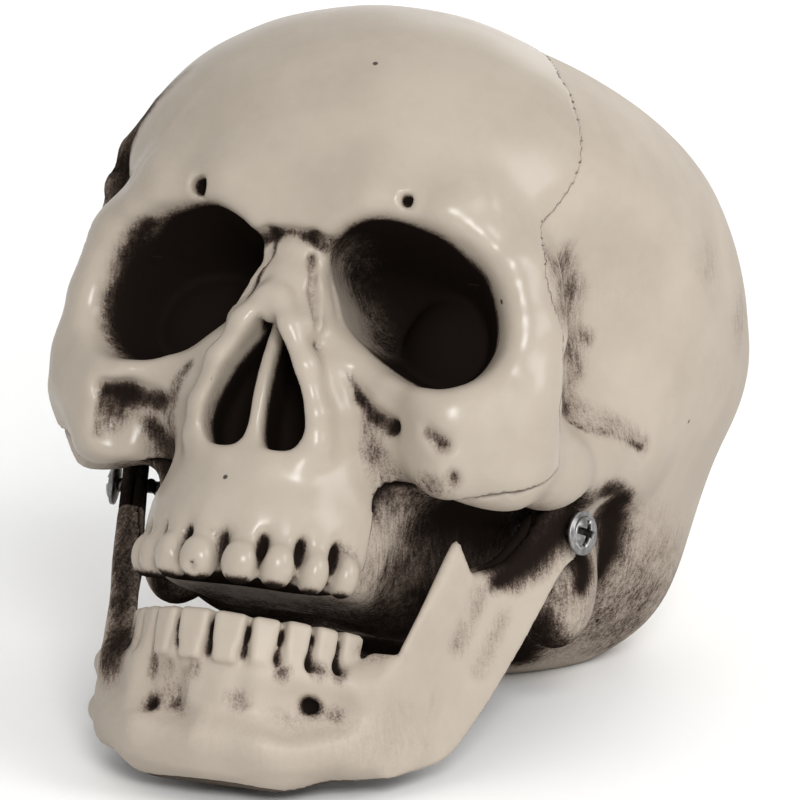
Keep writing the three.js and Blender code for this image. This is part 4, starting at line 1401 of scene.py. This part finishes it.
@dataclass
class HingeScrew:
    """A self-tapping washer-head screw along x with a cross recess, its head lying on the splayed plate.

    The point's length and width are shares of the shank's.
    """

    side: Side
    seat: float = 55.2
    head_lean: float = 16.5
    length: float = 18.0
    radius: float = 1.9
    thread_depth: float = 0.5
    thread_turns: int = 6
    thread_rings: int = 12
    thread_flank: tuple[float, float] = (0.45, 0.95)
    point_length: float = 0.25
    point_width: float = 0.25
    head_radius: float = 4.8
    rim_height: float = 1.0
    dome_radius: float = 3.6
    neck: float = 0.3
    crown_height: float = 2.4
    soft: float = 0.18
    cross_half: float = 3.0
    cross_half_width: float = 0.75
    cross_depth: float = 1.6
    cross_wall: tuple[float, float] = (1.15, 0.75)
    sides: int = 96
    dome_rings: int = 40

    def shank(self) -> tuple[Array, Array, Array]:
        """Radius and place of the rings from the tip to the seat: a core with a helical thread.

        Returns:
            Arrays over rings and angles of radius, of x and of how much painted shade a point gets, which is
            none here.
        """
        turn = np.linspace(0, 1, self.sides, endpoint=False)[None, :]
        t = np.linspace(0, 1, self.thread_rings * self.thread_turns)[:, None]
        x = self.seat - self.length + t * self.length
        wave = np.abs(((t * self.thread_turns - turn) % 1) * 2 - 1)
        core = self.radius - self.thread_depth
        point = self.point_width + (1 - self.point_width) * smooth_step(0.0, self.point_length, t)
        ring = (core + self.thread_depth * smooth_step(*self.thread_flank, wave)) * point
        return ring * np.ones_like(turn), x * np.ones_like(turn), np.zeros_like(ring * turn)

    def head(self) -> tuple[Array, Array, Array]:
        """Radius and place of the rings over the head: washer, rim, dome and the cross sunk in it.

        Returns:
            Arrays over rings and angles of radius, of x and of how deep in the cross a point lies, which sets
            its painted shade.
        """
        angle = 2 * math.pi * np.linspace(0, 1, self.sides, endpoint=False)[None, :]
        edge, dome, soft = self.head_radius, self.dome_radius, self.soft
        rim, foot = self.rim_height, self.rim_height + self.neck
        profile = [(edge - soft, 0), (edge, soft), (edge, rim - soft), (edge - soft, rim),
                   (dome + soft, rim + 0.1), (dome, foot)]
        radius, height = np.array(profile).T
        top = np.linspace(1, 0.02, self.dome_rings)
        bulge = (self.crown_height - foot) * (1 - top**2) ** 0.6
        radius = np.concatenate([radius, dome * top])[:, None]
        height = np.concatenate([height, foot + bulge])[:, None]
        a, b = np.abs(radius * np.cos(angle)), np.abs(radius * np.sin(angle))
        arms = np.minimum(np.maximum(a / self.cross_half, b / self.cross_half_width),
                          np.maximum(b / self.cross_half, a / self.cross_half_width))
        sunk = smooth_step(*self.cross_wall, arms) * (1 - 0.5 * np.clip(radius / self.cross_half, 0, 1))
        return radius * np.ones_like(angle), self.seat + height - self.cross_depth * sunk, sunk

    def build(self) -> bpy.types.Object:
        """Carries the rings round the axis, leans the head and closes both ends with a fan of thin quads.

        With u the way along the axis from the seat, the head's points turn about z by the lean a:
        u' = u cos a + y sin a and y' = y cos a - u sin a.

        Returns:
            The piece.
        """
        parts = [self.shank(), self.head()]
        # dark holds the shade painted into the cross recess.
        radius, x, dark = (np.concatenate([part[k] for part in parts]) for k in range(3))
        angle = 2 * math.pi * np.arange(self.sides) / self.sides
        rings = len(radius)
        points = np.stack([x, radius * np.cos(angle), radius * np.sin(angle)], -1).reshape(-1, 3)
        points = np.concatenate([points, [[x[0].mean(), 0, 0], [x[-1].mean(), 0, 0]]])
        ends = len(points) - 2 + np.arange(2)
        lean = math.radians(self.head_lean)
        out, y = points[:, 0] - self.seat, points[:, 1].copy()
        head = np.append(np.arange(rings).repeat(self.sides) >= len(parts[0][0]), [False, True])
        points[:, 0] = np.where(head, self.seat + out * math.cos(lean) + y * math.sin(lean), points[:, 0])
        points[:, 1] = np.where(head, y * math.cos(lean) - out * math.sin(lean), y)
        i, j = np.meshgrid(np.arange(rings - 1), np.arange(self.sides), indexing="ij")
        k = (j + 1) % self.sides
        quads = np.stack([i * self.sides + j, i * self.sides + k, (i + 1) * self.sides + k,
                          (i + 1) * self.sides + j], -1).reshape(-1, 4)
        pair = np.arange(0, self.sides, 2)
        after = (pair + 2) % self.sides
        last = (rings - 1) * self.sides
        tip = np.stack([np.full(len(pair), ends[0]), after, pair + 1, pair], -1)
        top = np.stack([np.full(len(pair), ends[1]), last + pair, last + pair + 1, last + after], -1)
        quads = np.concatenate([quads, tip, top])
        if self.side is Side.RIGHT:
            points = points * np.array([-1, 1, 1])
            quads = quads[:, ::-1]
        name = f"hinge_screw_{self.side.name.lower()}"
        # On a screw the wash mark holds painted shade: the depth in the cross recess, full at the head's
        # middle point.
        return mesh_piece(name, points, quads, {"wash": np.append(dark.ravel(), [0, 1])})


Plug = bpy.types.NodeSocket


class Graph:
    """A node tree, with short ways to add nodes and join them."""

    def __init__(self, tree: bpy.types.NodeTree) -> None:
        """Starts on an empty tree."""
        self.tree = tree
        self.tree.nodes.clear()

    def node(self, kind: str, **settings: object) -> bpy.types.Node:
        """Adds a node.

        Args:
            kind: the node's type.
            settings: properties to set on it.

        Returns:
            The node.
        """
        node = self.tree.nodes.new(kind)
        for name, value in settings.items():
            setattr(node, name, value)
        return node

    def feed(self, target: Plug, source: object) -> None:
        """Joins a socket to another, or sets its value.

        Args:
            target: the input socket.
            source: an output socket or a plain value.
        """
        if isinstance(source, Plug):
            self.tree.links.new(source, target)
        else:
            target.default_value = source

    def math(self, operation: str, *values: object, clamp: bool = False) -> Plug:
        """A Math node on sockets or numbers.

        Args:
            operation: the node's operation.
            values: its inputs.
            clamp: whether the result is kept from 0 to 1.

        Returns:
            The result's socket.
        """
        node = self.node("ShaderNodeMath", operation=operation, use_clamp=clamp)
        for socket, value in zip(node.inputs, values):
            self.feed(socket, value)
        return node.outputs[0]

    def rise(self, value: object, low: float, high: float, bottom: float = 0.0, top: float = 1.0) -> Plug:
        """Maps a value smoothly from one range to another.

        Args:
            value: the socket to map.
            low, high: the range that it comes from.
            bottom, top: the range that it goes to.

        Returns:
            The result's socket.
        """
        node = self.node("ShaderNodeMapRange", interpolation_type="SMOOTHSTEP")
        for socket, item in zip(node.inputs, (value, low, high, bottom, top)):
            self.feed(socket, item)
        return node.outputs[0]

    def noise(self, place: Plug, scale: float, detail: float = 3.0, rough: float = 0.55) -> Plug:
        """A noise value.

        Args:
            place: where the noise is read.
            scale: how many lumps there are in a metre.
            detail: how many finer layers it has.
            rough: how strong the finer layers are.

        Returns:
            The value's socket.
        """
        node = self.node("ShaderNodeTexNoise")
        for name, item in (("Vector", place), ("Scale", scale), ("Detail", detail), ("Roughness", rough)):
            self.feed(node.inputs[name], item)
        return node.outputs["Fac"]

    def mix(self, share: Plug, a: object, b: object) -> Plug:
        """Mixes two colours.

        Args:
            share: how much of the second there is.
            a, b: the two colours.

        Returns:
            The mixed colour's socket.
        """
        node = self.node("ShaderNodeMix", data_type="RGBA")
        for index, item in ((0, share), (6, a), (7, b)):
            self.feed(node.inputs[index], item)
        return node.outputs[2]

    def mark(self, name: str) -> Plug:
        """The value that a mesh holds at each point under a name."""
        return self.node("ShaderNodeAttribute", attribute_name=name).outputs["Fac"]

    def bump(self, height: Plug, strength: float, distance: float) -> Plug:
        """A normal bent by a height.

        Args:
            height: the height's socket.
            strength: how much of the bend is kept.
            distance: what a height of 1 stands for, in metres.

        Returns:
            The normal's socket.
        """
        node = self.node("ShaderNodeBump")
        for name, item in (("Height", height), ("Strength", strength), ("Distance", distance)):
            self.feed(node.inputs[name], item)
        return node.outputs[0]


class SharedEffects:
    """Node groups that several finishes use, each built once."""

    @staticmethod
    def group(
        name: str, inputs: dict[str, str], outputs: dict[str, str]
    ) -> tuple[Graph, bpy.types.Node, bpy.types.Node]:
        """An empty group with named sockets.

        Args:
            name: the group's name.
            inputs: socket names and their types, without the NodeSocket prefix.
            outputs: the same for the outputs.

        Returns:
            The group's graph, its input node and its output node.
        """
        tree = bpy.data.node_groups.new(name, "ShaderNodeTree")
        for sockets, way in ((inputs, "INPUT"), (outputs, "OUTPUT")):
            for label, kind in sockets.items():
                tree.interface.new_socket(label, in_out=way, socket_type="NodeSocket" + kind)
        graph = Graph(tree)
        return graph, graph.node("NodeGroupInput"), graph.node("NodeGroupOutput")

    @staticmethod
    def brushed_wash() -> bpy.types.NodeTree:
        """Turns a smooth amount of wash into a brushed one: streaks, clouds and grit shift where it starts.

        With a the amount and s the shift, the level is a + 3.4 a (1.02 - a) s, so bare and full places stay.

        Returns:
            The group.
        """
        graph, given, result = SharedEffects.group(
            "brushed wash",
            {"Amount": "Float", "Place": "Vector", "Raggedness": "Float"},
            {"Mask": "Float", "Film": "Float"},
        )
        amount, place, ragged = (given.outputs[k] for k in ("Amount", "Place", "Raggedness"))
        lay = graph.node("ShaderNodeMapping")
        graph.feed(lay.inputs["Vector"], place)
        lay.inputs["Rotation"].default_value = (math.radians(HEAD_TILT), 0, 0)
        lay.inputs["Scale"].default_value = (1.0, 1.0, 0.18)
        streaks = graph.noise(lay.outputs[0], 1100, 3, 0.6)
        clouds = graph.noise(place, 150, 4, 0.6)
        grit = graph.noise(place, 2100, 2, 0.7)
        shift: object = 0.0
        for texture, share in ((streaks, 0.8), (clouds, 0.9), (grit, 0.8)):
            shift = graph.math("MULTIPLY_ADD", graph.math("SUBTRACT", texture, 0.5), share, shift)
        edge = graph.math("MULTIPLY", amount, graph.math("SUBTRACT", 1.02, amount))
        reach = graph.math("MULTIPLY", edge, 3.4)
        level = graph.math("MULTIPLY_ADD", graph.math("MULTIPLY", shift, ragged), reach, amount)
        graph.feed(result.inputs["Mask"], graph.rise(level, 0.4, 0.98))
        graph.feed(result.inputs["Film"], graph.rise(level, 0.0, 0.8))
        return graph.tree

    @staticmethod
    def moulded_grain() -> bpy.types.NodeTree:
        """The moulded skin: broad mottling, a fine grain, a soft peel and a few pinholes.

        Returns:
            The group.
        """
        graph, given, result = SharedEffects.group(
            "moulded grain",
            {"Place": "Vector"},
            {"Mottle": "Float", "Grain": "Float", "Peel": "Float", "Pinholes": "Float"},
        )
        place = given.outputs["Place"]
        layers = (("Mottle", 38, 4, 0.6), ("Grain", 1400, 3, 0.6), ("Peel", 260, 3, 0.5))
        for name, scale, detail, rough in layers:
            graph.feed(result.inputs[name], graph.noise(place, scale, detail, rough))
        cells = graph.node("ShaderNodeTexVoronoi")
        graph.feed(cells.inputs["Vector"], place)
        cells.inputs["Scale"].default_value = 95
        near = graph.rise(cells.outputs["Distance"], 0.035, 0.07, 1.0, 0.0)
        chosen = graph.math("GREATER_THAN", graph.noise(place, 47, 1), 0.6)
        graph.feed(result.inputs["Pinholes"], graph.math("MULTIPLY", near, chosen))
        return graph.tree


def new_finish(name: str) -> tuple[bpy.types.Material, Graph, bpy.types.Node, Plug]:
    """Starts a material whose shader is joined to its output.

    Args:
        name: the finish's name.

    Returns:
        The material, its graph, its shader and the place on the object that textures read.
    """
    material = bpy.data.materials.new(name)
    material.use_nodes = True
    graph = Graph(material.node_tree)
    shader = graph.node("ShaderNodeBsdfPrincipled")
    out = graph.node("ShaderNodeOutputMaterial")
    graph.feed(out.inputs["Surface"], shader.outputs[0])
    return material, graph, shader, graph.node("ShaderNodeTexCoord").outputs["Object"]


@dataclass(frozen=True)
class BonePlastic:
    """Bone-coloured plastic with a dark wash wiped into its recesses."""

    name: str
    light: Colour
    dark: Colour
    roughness: float
    coat: float
    coat_roughness: float
    film: Colour = (0.085, 0.055, 0.042, 1)
    stain: Colour = (0.011, 0.0078, 0.0062, 1)
    film_share: float = 0.85
    pinhole_share: float = 0.9
    worn_share: float = 0.25
    raggedness: float = 1.0
    bump_strength: float = 0.35
    bump_height: float = 0.0004

    def material(self, wash: bpy.types.NodeTree, grain: bpy.types.NodeTree) -> bpy.types.Material:
        """Builds the finish.

        Args:
            wash: the brushed wash group.
            grain: the moulded grain group.

        Returns:
            The material.
        """
        material, graph, shader, place = new_finish(self.name)
        brushed = graph.node("ShaderNodeGroup", node_tree=wash)
        amount = graph.mark("wash")
        for socket, item in (("Amount", amount), ("Place", place), ("Raggedness", self.raggedness)):
            graph.feed(brushed.inputs[socket], item)
        mask, film = brushed.outputs["Mask"], brushed.outputs["Film"]
        moulded = graph.node("ShaderNodeGroup", node_tree=grain)
        graph.feed(moulded.inputs["Place"], place)
        pinholes = moulded.outputs["Pinholes"]
        mottle = graph.rise(moulded.outputs["Mottle"], 0.3, 0.7)
        colour = graph.mix(mottle, self.dark, self.light)
        # The film and stain colours lay the wash, and where a smear paints shade, as low on the back of the
        # head, they lay that painted shade too.
        colour = graph.mix(graph.math("MULTIPLY", film, self.film_share, clamp=True), colour, self.film)
        colour = graph.mix(mask, colour, self.stain)
        colour = graph.mix(graph.math("MULTIPLY", pinholes, self.pinhole_share), colour, self.stain)
        worn = graph.math("MULTIPLY", graph.rise(graph.mark("ridge"), 0.25, 0.7), self.worn_share)
        worn = graph.math("MULTIPLY", worn, graph.math("SUBTRACT", 1.0, mask))
        graph.feed(shader.inputs["Base Color"], graph.mix(worn, colour, self.light))
        rough = graph.math("MULTIPLY_ADD", mottle, 0.08, self.roughness - 0.04)
        graph.feed(shader.inputs["Roughness"], graph.math("MULTIPLY_ADD", mask, 0.5, rough))
        height = graph.math("MULTIPLY_ADD", moulded.outputs["Grain"], 0.25, moulded.outputs["Peel"])
        height = graph.math("MULTIPLY_ADD", pinholes, -0.8, height)
        graph.feed(shader.inputs["Normal"], graph.bump(height, self.bump_strength, self.bump_height))
        bare = graph.math("SUBTRACT", 1.0, film)
        graph.feed(shader.inputs["Coat Weight"], graph.math("MULTIPLY", bare, self.coat))
        shader.inputs["Coat Roughness"].default_value = self.coat_roughness
        shader.inputs["Specular IOR Level"].default_value = 0.0
        return material


@dataclass(frozen=True)
class ZincSteel:
    """Dull zinc-plated steel of the screws, with shade painted near-black into their cross recesses."""

    name: str = "zinc steel"
    bright: Colour = (0.29, 0.28, 0.28, 1)
    dull: Colour = (0.15, 0.145, 0.145, 1)
    # The near-black of the shade painted into the screws' cross recesses.
    recess_shade: Colour = (0.012, 0.01, 0.009, 1)
    bump_strength: float = 0.1
    bump_height: float = 0.0002

    def material(self, grain: bpy.types.NodeTree) -> bpy.types.Material:
        """Builds the finish.

        Args:
            grain: the moulded grain group, used here for the plating's fine bump.

        Returns:
            The material.
        """
        material, graph, shader, place = new_finish(self.name)
        moulded = graph.node("ShaderNodeGroup", node_tree=grain)
        graph.feed(moulded.inputs["Place"], place)
        cloud = graph.noise(place, 600, 4, 0.6)
        colour = graph.mix(graph.rise(cloud, 0.35, 0.65), self.dull, self.bright)
        # Painted shade: near-black laid into the cross recess from the screw's wash mark, darker the deeper
        # the point.
        colour = graph.mix(graph.rise(graph.mark("wash"), 0.15, 0.6), colour, self.recess_shade)
        graph.feed(shader.inputs["Base Color"], colour)
        graph.feed(shader.inputs["Roughness"], graph.rise(cloud, 0.3, 0.7, 0.28, 0.45))
        bump = graph.bump(moulded.outputs["Grain"], self.bump_strength, self.bump_height)
        graph.feed(shader.inputs["Normal"], bump)
        shader.inputs["Metallic"].default_value = 1.0
        return material


@dataclass
class Studio:
    """A pale floor, soft lights and the camera."""

    azimuth: float = 23.5
    elevation: float = 13.0
    distance: float = 1200.0
    lens_pixels: float = 5400.0
    picture: float = 800.0
    sensor: float = 36.0
    aim: Point = (0.0, 30.2, 17.7)
    floor_front: float = -1.6
    floor_run: float = 1.2
    floor_sweep: float = 0.9
    floor_rise: float = 2.0
    floor_half_width: float = 4.0
    floor_rings: int = 60
    floor_colours: tuple[Colour, Colour] = ((0.93, 0.93, 0.925, 1), (0.95, 0.95, 0.945, 1))

    def floor(self) -> None:
        """A broad sheet that curves up far behind the object: a profile carried along x.

        The profile is flat for its first 40%, then a quarter circle, and upright from 80% on.
        """
        rings = self.floor_rings
        t = np.linspace(0, 1, rings)
        bend = np.clip((t - 0.4) / 0.4, 0, 1) * math.pi / 2
        flat = np.clip(t / 0.4, 0, 1) * (self.floor_run - self.floor_front)
        y = self.floor_front + flat + self.floor_sweep * np.sin(bend)
        z = self.floor_sweep * (1 - np.cos(bend)) + np.clip((t - 0.8) / 0.2, 0, 1) * self.floor_rise
        x = self.floor_half_width * np.array([-1.0, 1.0])
        cos, sin = math.cos(math.radians(self.azimuth)), math.sin(math.radians(self.azimuth))
        x, y, z = np.broadcast_arrays(x[:, None], y, z)
        points = np.stack([cos * x - sin * y, sin * x + cos * y, z], -1).reshape(-1, 3)
        i = np.arange(rings - 1)
        mesh = bpy.data.meshes.new("floor")
        faces = np.stack([i, i + rings, i + rings + 1, i + 1], 1)
        mesh.from_pydata(points.tolist(), [], faces.tolist())
        mesh.shade_smooth()
        sheet = bpy.data.objects.new("floor", mesh)
        bpy.context.scene.collection.objects.link(sheet)
        material, graph, shader, place = new_finish("pale floor")
        graph.feed(shader.inputs["Base Color"], graph.mix(graph.noise(place, 6), *self.floor_colours))
        shader.inputs["Roughness"].default_value = 0.7
        mesh.materials.append(material)

    def lamp(self, name: str, place: Point, size: float, power: float, target: Point = (0, 0, 0.07)) -> None:
        """A square soft light that faces the object, or another place.

        Args:
            name: the light's name.
            place: where it stands, in metres.
            size: its side.
            power: its power in watts.
            target: what it faces.
        """
        data = bpy.data.lights.new(name, "AREA")
        data.size, data.energy = size, power
        lamp = bpy.data.objects.new(name, data)
        lamp.location = place
        aim = bpy.data.objects.new(name + " aim", None)
        aim.location = target
        for item in (lamp, aim):
            bpy.context.scene.collection.objects.link(item)
        track = lamp.constraints.new("TRACK_TO")
        track.target, track.track_axis, track.up_axis = aim, "TRACK_NEGATIVE_Z", "UP_Y"

    def lights(self) -> None:
        """A key light in front on the skull's left, one beside it, one on the backdrop, and a bright room."""
        self.lamp("key", (0.9, -1.5, 1.0), 0.5, 21)
        self.lamp("side", (1.6, -0.3, 1.1), 0.8, 12)
        self.lamp("backdrop", (0.3, 1.5, 1.3), 0.9, 20, (0.2, 2.6, 0.4))
        world = bpy.data.worlds.new("bright room")
        world.use_nodes = True
        back = world.node_tree.nodes["Background"]
        back.inputs["Color"].default_value = (1, 1, 1, 1)
        back.inputs["Strength"].default_value = 0.7
        bpy.context.scene.world = world

    def camera(self) -> None:
        """A long lens in front of the skull, to its left, aimed at a point set from the hinge."""
        a, e = math.radians(self.azimuth), math.radians(self.elevation)
        aim = (HINGE + np.array(self.aim)) * MM
        back = np.array([math.sin(a) * math.cos(e), -math.cos(a) * math.cos(e), math.sin(e)])
        data = bpy.data.cameras.new("camera")
        data.sensor_width = self.sensor
        data.lens = self.lens_pixels / self.picture * self.sensor
        data.clip_end = 20
        camera = bpy.data.objects.new("camera", data)
        camera.location = aim + back * self.distance * MM
        camera.rotation_euler = (math.pi / 2 - e, 0, a)
        bpy.context.scene.collection.objects.link(camera)
        bpy.context.scene.camera = camera


def main() -> None:
    """Builds the studio and the pieces in order."""
    logging.basicConfig(level=logging.INFO, format="%(name)s %(message)s")
    bpy.context.scene.view_settings.view_transform = "Standard"
    studio = Studio()
    studio.floor()
    studio.lights()
    studio.camera()
    wash, grain = SharedEffects.brushed_wash(), SharedEffects.moulded_grain()
    face_finish = BonePlastic(
        "face plastic", light=(0.375, 0.325, 0.267, 1), dark=(0.33, 0.284, 0.231, 1),
        roughness=0.4, coat=0.6, coat_roughness=0.26,
    ).material(wash, grain)
    bone_finish = BonePlastic(
        "bone plastic", light=(0.4, 0.346, 0.287, 1), dark=(0.35, 0.301, 0.247, 1),
        roughness=0.5, coat=0.4, coat_roughness=0.42,
    ).material(wash, grain)
    inner_finish = BonePlastic(
        "stained plastic", light=(0.1, 0.08, 0.066, 1), dark=(0.06, 0.048, 0.04, 1),
        roughness=0.5, coat=0.1, coat_roughness=0.5,
    ).material(wash, grain)
    zinc = ZincSteel().material(grain)
    skull = SkullForm()
    install(FaceShell(skull).build(), "skull", "face_shell", face_finish)
    install(CraniumShell(skull).build(), "skull", "cranium_shell", bone_finish)
    outer, inner = JawShells(JawForm()).build()
    install(outer, "jaw", "jaw_outer_shell", bone_finish)
    install(inner, "jaw", "jaw_inner_shell", inner_finish)
    for side in (Side.LEFT, Side.RIGHT):
        screw = HingeScrew(side).build()
        install(screw, "skull", f"jaw_screw_{side.name.lower()}", zinc)


if __name__ == "__main__":
    main()
